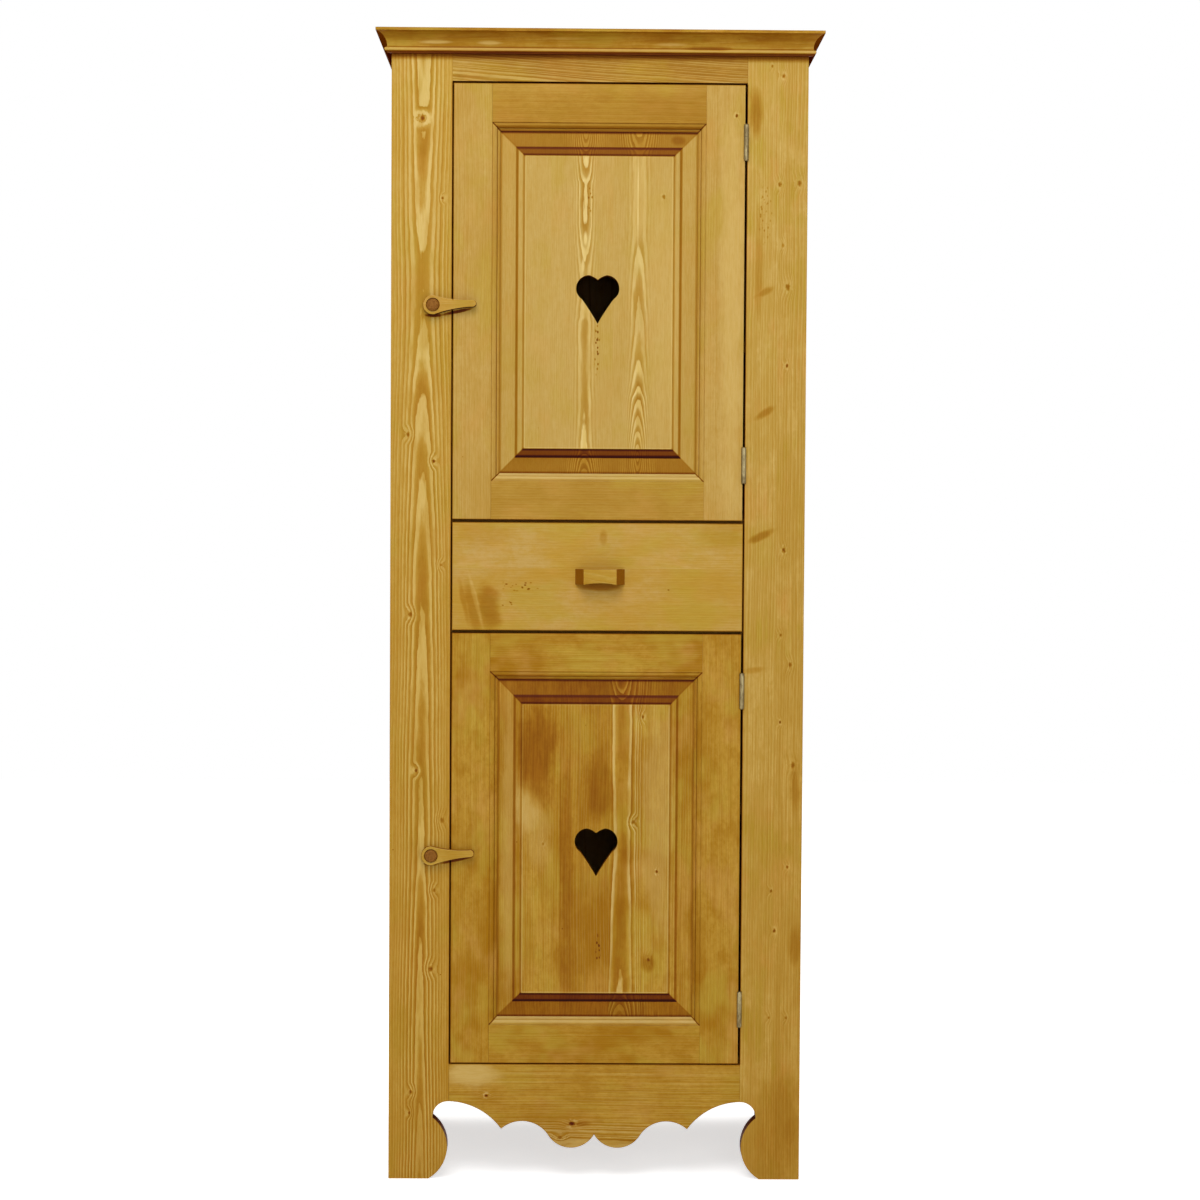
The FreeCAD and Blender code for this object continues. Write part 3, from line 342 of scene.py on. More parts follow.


# %% [markdown]
# ## Staining a board
# Each board gets its own finish: the order in which it sees across, through and along its grain, where its
# heart lay, and which knots it has. Where a board shows tall flames, a curve says how many rings deep the
# heart lies at each place along it, and a flame's tip comes at every whole ring. On top of the rings come
# cloudy patches where the stain took unevenly, fine fibres, thirsty end grain, and coats that grow deeper
# towards the floor, partly stain and partly painted shade. Faces that look down take painted shade. Sideways
# faces take stain that also stands in for the shade in the gaps, and faces that look up take a painted
# highlight.
# Roughness and bump follow the same rings, because hard autumn wood stands a little proud and takes a
# better polish.

# %% Write the stains and the boards' finish
PALE_LINE, PALE_HONEY, HONEY = paint(228, 203, 134), paint(201, 167, 94), paint(194, 157, 75)
AMBER, DEEP_AMBER = paint(184, 142, 51), paint(160, 111, 12)
TAN, OLIVE = paint(198, 150, 76), paint(180, 150, 52)
RAW_SPRUCE, RAW_DEEP, RAW_LINE = paint(176, 138, 86), paint(160, 118, 66), paint(150, 108, 58)
FRONT_FACE, BACK_FACE, SIDE_FACE, FULL_HEIGHT = -212, 238, 360, 2000
MARKS_REACH, BARE_EDGES = (14 * MM, 16 * MM), (-170 * MM, -180 * MM)
SEED_SHIFT, HUE_SEED, STRIP_SEED = (0.713, 0, 0.391), 31.0, 7.3


def part_coordinates(tree, order):
    """A point of the board as (across, through, along) its grain, and its plain X, Y and Z."""
    split = tree.nodes.new("ShaderNodeSeparateXYZ")
    feed(tree, split.inputs[0], add(tree, "TexCoord", "Object"))
    letters = dict(zip("xyz", split.outputs))
    return add(tree, "CombineXYZ", inlets=dict(enumerate(letters[k] for k in order))), letters


def facing(tree):
    """The three parts of the way that the surface faces."""
    split = tree.nodes.new("ShaderNodeSeparateXYZ")
    feed(tree, split.inputs[0], add(tree, "TexCoord", "Normal"))
    return dict(zip("xyz", split.outputs))


def sideways(tree):
    """1 where the surface looks to a side, up or down, and 0 where it looks to the front or the back."""
    return fade(tree, abs(facing(tree)["y"]), 0.65, 0.1)


def along_curve(tree, along, points):
    """A number that follows (place in mm, number) points along a board."""
    low, high, most = points[0][0] * MM, points[-1][0] * MM, max(value for _, value in points)
    bend = tree.nodes.new("ShaderNodeFloatCurve")
    curve = bend.mapping.curves[0]
    for spot, value in points[1:-1]:
        curve.points.new((spot * MM - low) / (high - low), value / most)
    curve.points[0].location, curve.points[-1].location = (0, points[0][1] / most), (1, points[-1][1] / most)
    for point in curve.points:
        point.handle_type = "AUTO_CLAMPED"
    bend.mapping.update()
    feed(tree, bend.inputs["Value"], (along - low) / (high - low))
    return bend.outputs[0] * most


def away_from(tree, place, across, along, half_width=1.0, half_length=1.0, turn=0):
    """The distance from a spot on a board, in half widths and half lengths of it, turned by degrees."""
    cosine, sine = math.cos(math.radians(turn)), math.sin(math.radians(turn))
    away = add(tree, "VectorMath", operation="SUBTRACT", inlets={0: place, 1: (across * MM, 0, along * MM)})

    def squared(half, lean_across, lean_along):
        """The distance along one axis of the spot, in its half sizes, squared."""
        axis = (lean_across / (half * MM), 0, lean_along / (half * MM))
        return add(tree, "VectorMath", 1, operation="DOT_PRODUCT", inlets={0: away, 1: axis}) ** 2.0

    return calc(tree, "SQRT", squared(half_width, cosine, -sine) + squared(half_length, sine, cosine))


def knots_in(tree, place, knots, ring_width):
    """Knots push the rings aside, with a dark middle and a pale rim. Gives push, dark and rim."""
    push, dark, rim = 0.0, 0.0, 0.0
    ragged = (cloud(tree, place, 320.0, (1, 1, 1.4), 2.0) - 0.5) * 1.1
    for across, along, radius, depth in knots:
        away = away_from(tree, place, across, along, radius, radius * 1.4) + ragged
        push = fade(tree, away, 0.5, 4.5, 1.1 * ring_width, 0.0) + push
        dark = calc(tree, "MAXIMUM", fade(tree, away, 0.2, 1.1, depth, 0.0), dark)
        ring_round = fade(tree, away, 0.9, 1.3) * fade(tree, away, 1.3, 2.6, depth * 0.45, 0.0)
        rim = calc(tree, "MAXIMUM", ring_round, rim)
    if knots:
        rim = rim * fade(tree, cloud(tree, place, 170.0, (1, 1, 1.5), 1.0), 0.46, 0.6)
    return push, dark, rim


def patches_in(tree, place, patches, seed, ragged=1.3):
    """Cloudy-edged patches: (across, along, half width, half length, strength, turn)."""
    edge = (cloud(tree, place, 45.0, (1, 1, 2.5), 4.0, 0.6, seed) - 0.5) * ragged
    share = 0.0
    for across, along, half_width, half_length, strength, *turn in patches:
        away = away_from(tree, place, across, along, half_width, half_length, *turn) + edge
        share = calc(tree, "MAXIMUM", fade(tree, away, 0.35, 1.2, strength, 0.0), share)
    return share


def worm_pricks(tree, place, pricks, seed):
    """Clusters of dark pinpricks, and a few lone ones anywhere."""
    dots = tree.nodes.new("ShaderNodeTexVoronoi")
    moved = [seed * way for way in SEED_SHIFT]
    feed(tree, dots.inputs["Vector"], add(tree, "VectorMath", operation="ADD", inlets={0: place, 1: moved}))
    dots.inputs["Scale"].default_value = 24.0
    lone = fade(tree, dots.outputs["Distance"], 0.015, 0.035, 0.5, 0.0)
    chance = add(tree, "SeparateColor", inlets={0: dots.outputs["Color"]})
    lone = lone * fade(tree, chance, 0.7, 0.72)
    if not pricks:
        return lone
    close = tree.nodes.new("ShaderNodeTexVoronoi")
    squashed = add(tree, "VectorMath", operation="MULTIPLY", inlets={0: place, 1: (1, 1, 0.6)})
    feed(tree, close.inputs["Vector"], squashed)
    close.inputs["Scale"].default_value = 210.0
    clustered = fade(tree, close.outputs["Distance"], 0.14, 0.4, 1.1, 0.0)
    return calc(tree, "MAXIMUM", lone, clustered * patches_in(tree, place, pricks, seed + 9, 0.8))


def spruce(name, order="xyz", stain=HONEY, deep=AMBER, line=PALE_LINE, heart=(0, 12, 1000), rise=None,
           taper=0.03, face=FRONT_FACE, ring=4.5, reach=60, wander=1.0, uneven=1.0, seed=0, contrast=0.6,
           plain=0.3, blotch=1.0, streak=0.35, knots=(), smears_and_shadows=(), pale_wear_and_highlight=(), pricks=(), dress=None,
           floorward=0.0, strips=(), bright=(), edge=0.35, under=0.45, lean=0.0, front_edge=0.0,
           polish=0.08):
    """A stained spruce finish.

    heart is where the heart of the tree runs: across, behind the face, and the place along the board where
    it is that far behind. It comes nearer along the board by the taper, or else rise gives (place, rings
    deep) along it. reach is how far the flames spread, and plain is how strong the rings stay beyond it. A
    strip is another board glued on: (edge, heart across, behind, rise or None, coats of stain). lean is how
    much the grain runs off across the board. edge is the coats on sideways faces, partly stain in sawn edges
    and partly painted shade in the gaps. under is the painted shade on faces that look down, and front_edge
    is the coats on the front edge of a board that is bare elsewhere. rubbed patches are worn honey pale, and
    bright ones show the hard pale wood of a line. smears are dark patches of stain, and also painted shadows
    below the turn buttons and the pull. floorward adds coats towards the floor, partly stain and partly
    painted shade. Faces that look up and to the front get a pale painted highlight.
    """
    finish, tree, shader = new_finish(name)
    place, xyz = part_coordinates(tree, order)
    across, through, along = (xyz[letter] for letter in order)
    inward = -1.0 if face > 0 else 1.0

    def depth_below(behind, climb):
        """How deep the heart lies below a place."""
        if climb:
            deep_here = along_curve(tree, along, climb) * (ring * MM)
        else:
            deep_here = along * taper + (behind - taper * heart[2]) * MM
        return deep_here - (through - face * MM) * inward

    heart_across, heart_depth = heart[0] * MM, depth_below(heart[1], rise)
    board_seed, coats = float(seed), 0.0
    for number, (rim_at, next_across, next_behind, next_rise, next_coats) in enumerate(strips):
        past = calc(tree, "GREATER_THAN", across, rim_at * MM)
        heart_across = fade(tree, past, 0.0, 1.0, heart_across, next_across * MM)
        heart_depth = fade(tree, past, 0.0, 1.0, heart_depth, depth_below(next_behind, next_rise))
        board_seed = fade(tree, past, 0.0, 1.0, board_seed, seed + STRIP_SEED * (number + 1))
        coats = fade(tree, past, 0.0, 1.0, coats, next_coats)
    if lean:
        heart_across = heart_across + along * lean
    recess = calc(tree, "MAXIMUM", (through - face * MM) * inward, 0.0)
    push, dark, rim = knots_in(tree, place, knots, ring * MM)
    rings = tree.nodes.new("ShaderNodeGroup")
    rings.node_tree = spruce_rings
    for inlet, value in {"Place": place, "Heart Across": heart_across, "Heart Depth": heart_depth,
                         "Wander": wander, "Unevenness": uneven, "Flame Reach": recess * 5.0 + reach * MM,
                         "Ring Width": ring * MM, "Seed": board_seed, "Push": push}.items():
        feed(tree, rings.inputs[inlet], value)
    line_here, tone, spring, flame = rings.outputs

    cloudy = cloud(tree, place, 12.0, (1, 1, 2), 4.0, 0.6, board_seed)
    mottled = cloud(tree, place, 46.0, (1, 1, 1.6), 3.0, 0.6, board_seed)
    hazy = cloud(tree, place, 14.0, (1, 1, 1.6), 3.0, 0.6, board_seed + HUE_SEED, "Color")
    hues = add(tree, "SeparateColor", inlets={0: hazy}).node.outputs
    streaks = cloud(tree, place, 170.0, (1, 1, 26), 2.0, 0.6, board_seed)
    fibres = cloud(tree, place, 480.0, (1, 1, 12), 2.0, 0.7, board_seed)
    colour = tint(tree, fade(tree, cloudy, 0.4, 0.66, 0.0, 0.75 * blotch), stain, deep)
    colour = tint(tree, fade(tree, mottled, 0.45, 0.68, 0.0, 0.45 * blotch), colour, deep)
    flecked = cloud(tree, place, 150.0, (1, 1, 1.5), 3.0, 0.65, board_seed)
    colour = tint(tree, fade(tree, flecked, 0.42, 0.64, 0.0, 0.4), colour, deep)
    colour = tint(tree, fade(tree, hues[0], 0.48, 0.66, 0.0, 0.3 * blotch), colour, TAN)
    colour = tint(tree, fade(tree, hues[1], 0.48, 0.66, 0.0, 0.45 * blotch), colour, OLIVE)
    colour = tint(tree, fade(tree, streaks, 0.42, 0.68, 0.0, streak), colour, deep)
    thirst = spring * fade(tree, tone, 0.2, 0.9, 0.4, 1.0) * fade(tree, flame, 0.0, 1.0, plain * 0.14, 0.2)
    colour = lay_coats(tree, thirst + coats, colour)
    colour = tint(tree, line_here * fade(tree, flame, 0.0, 1.0, contrast * plain, contrast), colour, line)
    on_face = fade(tree, recess, *MARKS_REACH, 1.0, 0.0)
    marks = {}
    for kind, spots, shift, ragged in (("pale_wear_and_highlight", pale_wear_and_highlight, 3, 1.3), ("bright", bright, 5, 0.7),
                                       ("smears_and_shadows", smears_and_shadows, 0, 1.3)):
        if spots:
            marks[kind] = on_face * patches_in(tree, place, spots, seed + shift, ragged)
    if pale_wear_and_highlight:
        colour = tint(tree, marks["pale_wear_and_highlight"], colour, PALE_HONEY)
    if bright:
        colour = tint(tree, marks["bright"], colour, line)
    coats = fade(tree, fibres, 0.35, 0.62, 0.035, 0.0)
    if smears_and_shadows:
        coats = coats + marks["smears_and_shadows"]
    # Darker towards the floor: partly stain, partly painted shade of the light falling off below.
    if floorward:
        coats = coats + fade(tree, xyz["z"], FULL_HEIGHT * MM, 0.0, 0.0, floorward)
    if knots:
        colour = tint(tree, rim, colour, PALE_LINE)
        coats = coats + dark
    coats = coats + worm_pricks(tree, place, pricks, seed)
    faces = facing(tree)
    coats = coats + fade(tree, abs(faces[order[2]]), 0.1, 0.7, 0.0, 0.3)
    # Painted highlight: faces that look up and to the front are tinted pale, as if lit from above.
    painted_top_highlight = fade(tree, faces["z"], 0.15, 0.5, 0.0, 0.3)
    colour = tint(tree, painted_top_highlight * fade(tree, faces["y"], -0.3, -0.6), colour, PALE_LINE)
    # Painted shade: faces that look down take the under coats. Sideways faces take the edge coats, partly
    # stain in sawn edges and partly painted shade in the gaps. Faces that look up take less of both.
    if edge:
        beside = sideways(tree) * edge
        painted_underside_shade = fade(tree, faces["z"], -0.2, -0.7, 0.0, under)
        over = fade(tree, faces["z"], 0.3, 0.9, 1.0, 0.4)
        coats = coats + (beside + painted_underside_shade) * over
    if front_edge:
        at_front = fade(tree, faces["y"], -0.5, -0.9, 0.0, front_edge)
        coats = coats + at_front * fade(tree, xyz["y"], *BARE_EDGES)
    if dress:
        colour, more = dress(tree, colour, xyz)
        coats = coats + more
    # These coats hold the stain, and also the painted shade and painted shadows laid above.
    feed(tree, shader.inputs["Base Color"], lay_coats(tree, coats, colour))
    gloss = fade(tree, fibres, 0.2, 0.8, 0.62, 0.52) + line_here * -0.07
    feed(tree, shader.inputs["Roughness"], gloss)
    shader.inputs["Specular IOR Level"].default_value = polish
    height = line_here * 0.5 + fibres * 0.5
    feed(tree, shader.inputs["Normal"], add(tree, "Bump", inlets={
        "Strength": 0.4, "Distance": 0.4 * MM, "Height": height}))
    return finish


# %% [markdown]
# ## Stain and painted shade in the door mouldings
# When such a door is stained and wiped, the stain stays in the corners: where the panel meets the
# moulding, in the quirk round the raised field and along the mitres. It goes deepest where the cuts cross
# the grain, at the panel's top and bottom. Painted shadow deepens the lines at the top, under the rail's
# moulding, and painted shade darkens the faces that look down. The bottom moulding and the field's edge
# are painted pale as highlights. All of it could be painted on the mesh, but the lines follow rectangles
# exactly, so they are worked out from the distance to the panel's sight edge.

# %% Work out the stain in the doors
DOOR_MIDDLE, DOOR_HALF_WIDTH = -0.85 * MM, 171.35 * MM
DOORS = {"upper": (1531.75 * MM, 295.75 * MM), "lower": (581.25 * MM, 296.25 * MM)}
MOULDING, BEVEL, QUIRK, FIELD = 13.5 * MM, -27.0 * MM, -29.5 * MM, -42.5 * MM
MOULDINGS_END, DOOR_EDGE = (-198 * MM, -195 * MM), (249.5 * MM, 250.5 * MM)


def sight_distance(tree, xyz, door):
    """How far outside the panel's sight edge a point is, how near a mitre, 1 at the top, 1 at the bottom."""
    middle, half = DOORS[door]
    height = xyz["z"] - middle
    beside = abs(xyz["x"] - DOOR_MIDDLE) - DOOR_HALF_WIDTH
    above = abs(height) - half
    past_mitre = above - beside
    level = fade(tree, past_mitre, -3.0 * MM, 1.0 * MM)
    top = level * calc(tree, "GREATER_THAN", height, 0.0)
    return calc(tree, "MAXIMUM", beside, above), abs(past_mitre), top, level - top


def groove_line(tree, value, where, width, coats=1.0):
    """A soft line of coats where the value passes a place, used for stain in grooves and for painted shadow.
    """
    return fade(tree, abs(value - where), width * 0.2, width, coats, 0.0)


def between(tree, value, low, high, soft=0.5 * MM):
    """1 between two places, with soft ends."""
    return fade(tree, value, low - soft, low + soft) * fade(tree, value, high - soft, high + soft, 1.0, 0.0)


def by_side(top, bottom, at_side, at_top, at_bottom):
    """A strength that differs between the sides, the top and the bottom."""
    return at_side + (top * (at_top - at_side) + bottom * (at_bottom - at_side))


def coats_in(top, bottom, *places):
    """Adds up the coats at several places: (where, at the sides, at the top, at the bottom)."""
    coats = 0.0
    for where, *strengths in places:
        coats = coats + where * by_side(top, bottom, *strengths)
    return coats


UPRIGHT_GAP, LEVEL_GAPS = 253.8 * MM, ((203.5, 1.0), (960.5, 2.6), (1153, 2.6), (1909, 1.0))


def joint_stain_and_shade(tree, xyz):
    """Darker along the gaps round the doors and the drawer: partly stain, partly painted shade in the gaps.
    """
    beside = abs(xyz["x"])
    level = 0.0
    for height, half in LEVEL_GAPS:
        away = abs(xyz["z"] - height * MM)
        level = calc(tree, "MAXIMUM", level, fade(tree, away, half * MM, (half + 2) * MM, 0.35, 0.0))
    upright = fade(tree, abs(beside - UPRIGHT_GAP), 1.2 * MM, 3.0 * MM, 0.4, 0.0)
    level = level * fade(tree, beside, UPRIGHT_GAP, UPRIGHT_GAP + MM, 1.0, 0.0)
    upright = upright * between(tree, xyz["z"], LEVEL_GAPS[0][0] * MM, LEVEL_GAPS[-1][0] * MM)
    return calc(tree, "MAXIMUM", level, upright)


def by_the_joints(tree, colour, xyz):
    """Only the stain and painted shade along the gaps."""
    return colour, joint_stain_and_shade(tree, xyz)


def front_only(tree, xyz):
    """1 on the front of a door and 0 on its back, which has no moulding."""
    return fade(tree, xyz["y"], *MOULDINGS_END, 1.0, 0.0)


def door_frame_stain_and_shade(door):
    """Stain at the moulding's foot, head and mitres, with painted shadow at the top and a painted highlight
    below.
    """
    def dress(tree, colour, xyz):
        out, mitre, top, bottom = sight_distance(tree, xyz, door)
        front = front_only(tree, xyz)
        on_moulding = between(tree, out, 0.0, MOULDING, 1.0 * MM)
        # Painted highlight: the bottom moulding, which looks up, is tinted pale.
        pale_wear_and_highlight = bottom * (on_moulding * fade(tree, out, 0.0, MOULDING, 0.5, 0.05))
        foot, head = groove_line(tree, out, 0.6 * MM, 3.2 * MM), groove_line(tree, out, MOULDING, 1.6 * MM)
        whole = between(tree, out, 0.0, MOULDING)
        mitres = groove_line(tree, mitre, 0.0, 2.2 * MM) * between(tree, out, 0.0, MOULDING)
        # Stain in the foot, head and mitres, heavier at the top as painted shadow under the rail's moulding.
        coats = coats_in(top, bottom, (foot, 0.1, 0.28, 0.0), (head, 0.03, 0.1, 0.0),
                         (whole, 0.03, 0.0, 0.0), (mitres, 0.4, 0.8, 0.7))
        outer = fade(tree, abs(xyz["x"]), *DOOR_EDGE, 0.0, -0.4)
        coats = front * coats + outer * sideways(tree)
        return tint(tree, front * pale_wear_and_highlight, colour, PALE_LINE), joint_stain_and_shade(tree, xyz) + coats
    return dress


def panel_stain_and_shade(door):
    """Stain and painted shade round a raised panel's moulding, bevels, quirk and field, and a painted
    highlight on its edge.
    """
    top_bevel = {"upper": 0.26, "lower": 0.32}[door]

    def dress(tree, colour, xyz):
        out, mitre, top, bottom = sight_distance(tree, xyz, door)
        front = front_only(tree, xyz)
        # Painted highlight: a pale line along the field's edge.
        painted_lip_highlight = groove_line(tree, out, FIELD - 1.2 * MM, 2.2 * MM) * by_side(top, bottom, 0.28, 0.12, 0.4)
        sight_edge, bevel = groove_line(tree, out, 0.0, 5.0 * MM), between(tree, out, BEVEL, 10 * MM)
        quirk, field_moulding = groove_line(tree, out, QUIRK, 3.4 * MM), between(tree, out, FIELD, BEVEL)
        field_edge = groove_line(tree, out, FIELD + 1.2 * MM, 3.0 * MM)
        mitres = groove_line(tree, mitre, 0.0, 3.0 * MM) * between(tree, out, FIELD, 10 * MM)
        # Stain in the corners, heavier at the top as painted shadow and on faces that look down as painted
        # shade.
        coats = coats_in(top, bottom, (sight_edge, 0.22, 0.9, 0.4), (bevel, 0.03, top_bevel, 0.3),
                         (quirk, 0.4, 0.45, 0.8), (field_moulding, 0.0, 0.58, 0.86),
                         (field_edge, 0.2, 0.5, 0.7), (mitres, 0.04, 0.06, 0.05))
        return tint(tree, front * painted_lip_highlight, colour, PALE_LINE), front * coats
    return dress


# %% [markdown]
# ## The cornice's bands
# Along the cornice, painted shadow darkens the line under the bead, and painted shade darkens the hollow and
# the groove above the bead. The bead is painted pale as a highlight.

# %% Work out the cornice bands
CORNICE_BASE = 1957
CORNICE_FOOT, BEAD_TOP, COVE_TOP = CORNICE_BASE * MM, 1967 * MM, 1992.5 * MM
SCROLL_ACROSS, SCROLL_UP = (100 * MM, 350 * MM), (10 * MM, 185 * MM)
STILE_EDGE, SIDE_INSIDE = (358 * MM, 359.5 * MM), (350 * MM, 345 * MM)


def cornice_bands(tree, colour, xyz):
    """Painted shadow under the bead, a painted highlight on it, and painted shade above it and up the
    hollow.
    """
    bead = between(tree, xyz["z"], CORNICE_FOOT + 4.5 * MM, BEAD_TOP - 1.8 * MM, 0.8 * MM)
    up_the_hollow = fade(tree, xyz["z"], BEAD_TOP, COVE_TOP, 0.0, 0.05)
    coats = up_the_hollow + groove_line(tree, xyz["z"], CORNICE_FOOT + 0.8 * MM, 4.0 * MM, 0.75)
    colour = tint(tree, bead * 0.55, colour, PALE_HONEY)
    return colour, coats + groove_line(tree, xyz["z"], BEAD_TOP, 2.4 * MM, 0.3)


def cornice_return_bands(tree, colour, xyz):
    """The same bands on a return, with painted shade where it faces down."""
    colour, coats = cornice_bands(tree, colour, xyz)
    return colour, coats + fade(tree, facing(tree)["z"], -0.1, -0.7, 0.12, 0.7)


def under_cornice(tree, colour, xyz):
    """Painted shadow below the cornice's foot, stain and painted shade along the gaps, and painted shade on
    the feet's scrolls.
    """
    # Painted shade on the scrolled edges of the feet.
    scroll_shade = between(tree, abs(xyz["x"]), *SCROLL_ACROSS) * between(tree, xyz["z"], *SCROLL_UP)
    outer = fade(tree, abs(xyz["x"]), *STILE_EDGE, 0.0, -0.3)
    edges = sideways(tree) * (outer + scroll_shade * 0.6)
    # Painted shadow below the cornice's foot.
    coats = fade(tree, xyz["z"], CORNICE_FOOT - 12 * MM, CORNICE_FOOT, 0.0, 0.6)
    return colour, edges + (joint_stain_and_shade(tree, xyz) + coats)


def bare_inside(tree, colour, xyz):
    """A side is stained outside only, so its inner face is bare wood."""
    inside = fade(tree, abs(xyz["x"]), *SIDE_INSIDE, 0.0, 0.8)
    return tint(tree, inside, colour, RAW_SPRUCE), 0.0


# %% [markdown]
# ## Choosing the boards
# No two boards of the cupboard are alike. The stiles are flat-sawn, with flames down the middle; the
# door frames are plainer and straighter; the panels are glued up from narrower boards; the inside was
# never stained. One finish for all would look like printed foil, so each kind of board gets its own.

# %% Stain the carcass, the drawer and the small fittings
finishes = {}
# On the left stile, the four dark patches just below the turn buttons are painted shadows of the buttons.
finishes["left_stile"] = spruce(
    "left_stile_spruce", heart=(-305, 0, 0), ring=4.8, uneven=0.35, wander=0.8, seed=3, contrast=0.64,
    plain=0.4, streak=0.5, floorward=0.1, dress=under_cornice,
    smears_and_shadows=((-287, 1508, 14, 3.2, 1.2), (-243, 1515, 30, 3, 1.2, -12.5), (-287, 553.5, 13, 2.4, 0.6),
            (-243, 561, 30, 2.6, 0.9, -12.5)),
    rise=((0, 1.5), (139, 2), (394, 3), (771, 4), (1025, 5), (1220, 6), (1337, 7), (1479, 8), (1586, 8.25),
          (1637, 8), (1706, 7.6), (1800, 7.1), (1900, 6.7), (2000, 6.4)),
    knots=((-306, 1847, 4, 0.6), (-271, 1710, 2.2, 0.6), (-330, 1302, 3.4, 0.45), (-285, 1256, 3, 0.9),
           (-272, 1076, 2.4, 0.3), (-325, 990, 3.6, 0.5), (-314, 717, 3, 0.6), (-268, 631, 4, 0.3),
           (-282, 508, 3, 0.3), (-287, 370, 4, 0.6), (-321, 153, 3, 0.5), (-324, 116, 2.4, 0.4)))
finishes["right_stile"] = spruce(
    "right_stile_spruce", stain=paint(204, 172, 102), deep=paint(188, 152, 72), heart=(430, 40, 1100),
    taper=0.012, ring=4.6, seed=8, contrast=0.6, plain=0.45, reach=60, blotch=1.9, streak=1.0, floorward=0.1,
    dress=under_cornice, strips=((310, 420, 30, None, 0.03),), pricks=((287, 1690, 14, 60, 0.25),),
    smears_and_shadows=((287, 1552, 6, 20, 0.16, 62), (289, 1343, 7, 24, 0.2, 58), (284, 1129, 7, 26, 0.24, 65),
            (276, 896, 6, 20, 0.12, 80), (270, 1866, 13, 44, 0.24), (318, 80, 60, 120, 0.1),
            (276, 1600, 8, 90, 0.1), (348, 687, 10, 60, 0.14), (350, 414, 12, 45, 0.14),
            (342, 88, 16, 40, 0.14)),
    knots=((297, 1941, 2.4, 0.35), (317, 1924, 3, 0.5), (312, 1738, 3.6, 0.4), (346, 1740, 4, 0.4),
           (327, 1561, 4.6, 0.4), (327, 1425, 2.6, 0.7), (324, 1105, 3.4, 0.6), (318, 1633, 3, 0.25),
           (320, 957, 2.6, 0.4), (337, 905, 3.6, 0.4), (320, 805, 2.2, 0.8), (343, 730, 4.4, 0.35),
           (335, 551, 2.4, 0.6), (307, 509, 2.4, 0.6), (313, 439, 3, 0.7), (305, 286, 2.4, 0.3),
           (335, 286, 2.4, 0.3)))
finishes["frieze"] = spruce(
    "frieze_spruce", "zyx", stain=paint(184, 147, 70), deep=paint(164, 122, 46), heart=(1880, 30, -100),
    taper=0.015, ring=3.8, seed=12, contrast=0.65, plain=0.8, blotch=1.3, streak=0.7, lean=-0.06,
    dress=under_cornice, smears_and_shadows=((1930, 60, 30, 400, 0.08),))
finishes["apron"] = spruce(
    "apron_spruce", "zyx", stain=AMBER, deep=DEEP_AMBER, heart=(60, 14, -60), taper=0.02, ring=4.2, seed=15,
    contrast=0.6, streak=0.6, knots=((147, -189, 2.6, 1.0), (98, -39, 4, 1.0), (73, -60, 3.4, 0.4)),
    smears_and_shadows=((98, -28, 5, 26, 0.2),), pale_wear_and_highlight=((184, -214, 26, 54, 1.0),), dress=by_the_joints)
finishes["cornice"] = spruce(
    "cornice_spruce", "zyx", stain=AMBER, deep=DEEP_AMBER, heart=(2040, 30, 0), ring=3.2, seed=19,
    contrast=0.3, blotch=1.6, streak=0.6, dress=cornice_bands, edge=0.2, under=0.1,
    smears_and_shadows=((1968, 185, 5, 46, 0.3), (1980, 130, 6, 60, 0.1), (1984, -330, 6, 50, 0.06),
            (1985, 300, 6, 60, 0.08)),
    pale_wear_and_highlight=((1976, -282, 3.4, 30, 1.0), (1975, -191, 3.4, 22, 0.9), (1975, 120, 3, 30, 0.6),
            (1983, -60, 2, 40, 0.5)))
finishes["cornice_return"] = spruce(
    "cornice_return_spruce", "zxy", stain=AMBER, deep=DEEP_AMBER, face=-SIDE_FACE, heart=(2040, 20, 0),
    ring=3.2, seed=21, contrast=0.15, dress=cornice_return_bands, edge=0.0, polish=0.0)
# On the drawer front, the two dark patches under and round the pull are painted shadows of the pull.
finishes["drawer_front"] = spruce(
    "drawer_front_spruce", "zyx", stain=paint(190, 154, 84), deep=AMBER, heart=(1240, 60, 0), taper=0.01,
    ring=4.2, seed=24, contrast=0.3, plain=0.2, blotch=1.3, streak=0.3,
    strips=((1071, 1300, 60, None, -0.02),), dress=by_the_joints,
    smears_and_shadows=((1002, -189, 46, 22, 0.24, 10), (1000, -216, 50, 14, 0.18, 12), (1010, -231, 42, 6, 0.14, 12),
            (1040, 4, 9, 40, 0.4), (1052, 4, 16, 46, 0.1), (1125, 10, 14, 7, 0.12),
            (1128, 222, 30, 50, 0.07), (1130, -200, 26, 60, 0.05)),
    pale_wear_and_highlight=((1018, -212, 58, 4.4, 0.9, 15), (1072, 150, 0.8, 110, 0.6)),
    pricks=((1040, -137, 9, 34, 0.9), (1009, -157, 6, 9, 1.0), (1034, 119, 2, 8, 1.3)))
# The latches and the pull take heavy painted shade on the faces that look down.
finishes["fittings"] = spruce(
    "latch_and_pull_spruce", "zyx", stain=paint(190, 152, 66), deep=paint(176, 134, 42),
    heart=(1000, 300, 0), ring=2.6, seed=27, contrast=0.35, blotch=1.5, edge=0.95, under=1.5)
for side, face, heart, strip, seed in (("left", -SIDE_FACE, (-90, 16, 1000), (20, 120, 12, None, 0.02), 31),
                                       ("right", SIDE_FACE, (100, 14, 900), (150, 190, 40, None, 0.03), 34)):
    finishes[side + "_side"] = spruce(
        side + "_side_spruce", "yxz", face=face, heart=heart, ring=4.6, seed=seed, contrast=0.6, plain=0.5,
        floorward=0.12, edge=0.0, strips=(strip,), dress=bare_inside)
print("outside finishes:", len(finishes))

# %% [markdown]
# The boards inside were planed and left bare, so their autumn lines are darker than the spring wood.

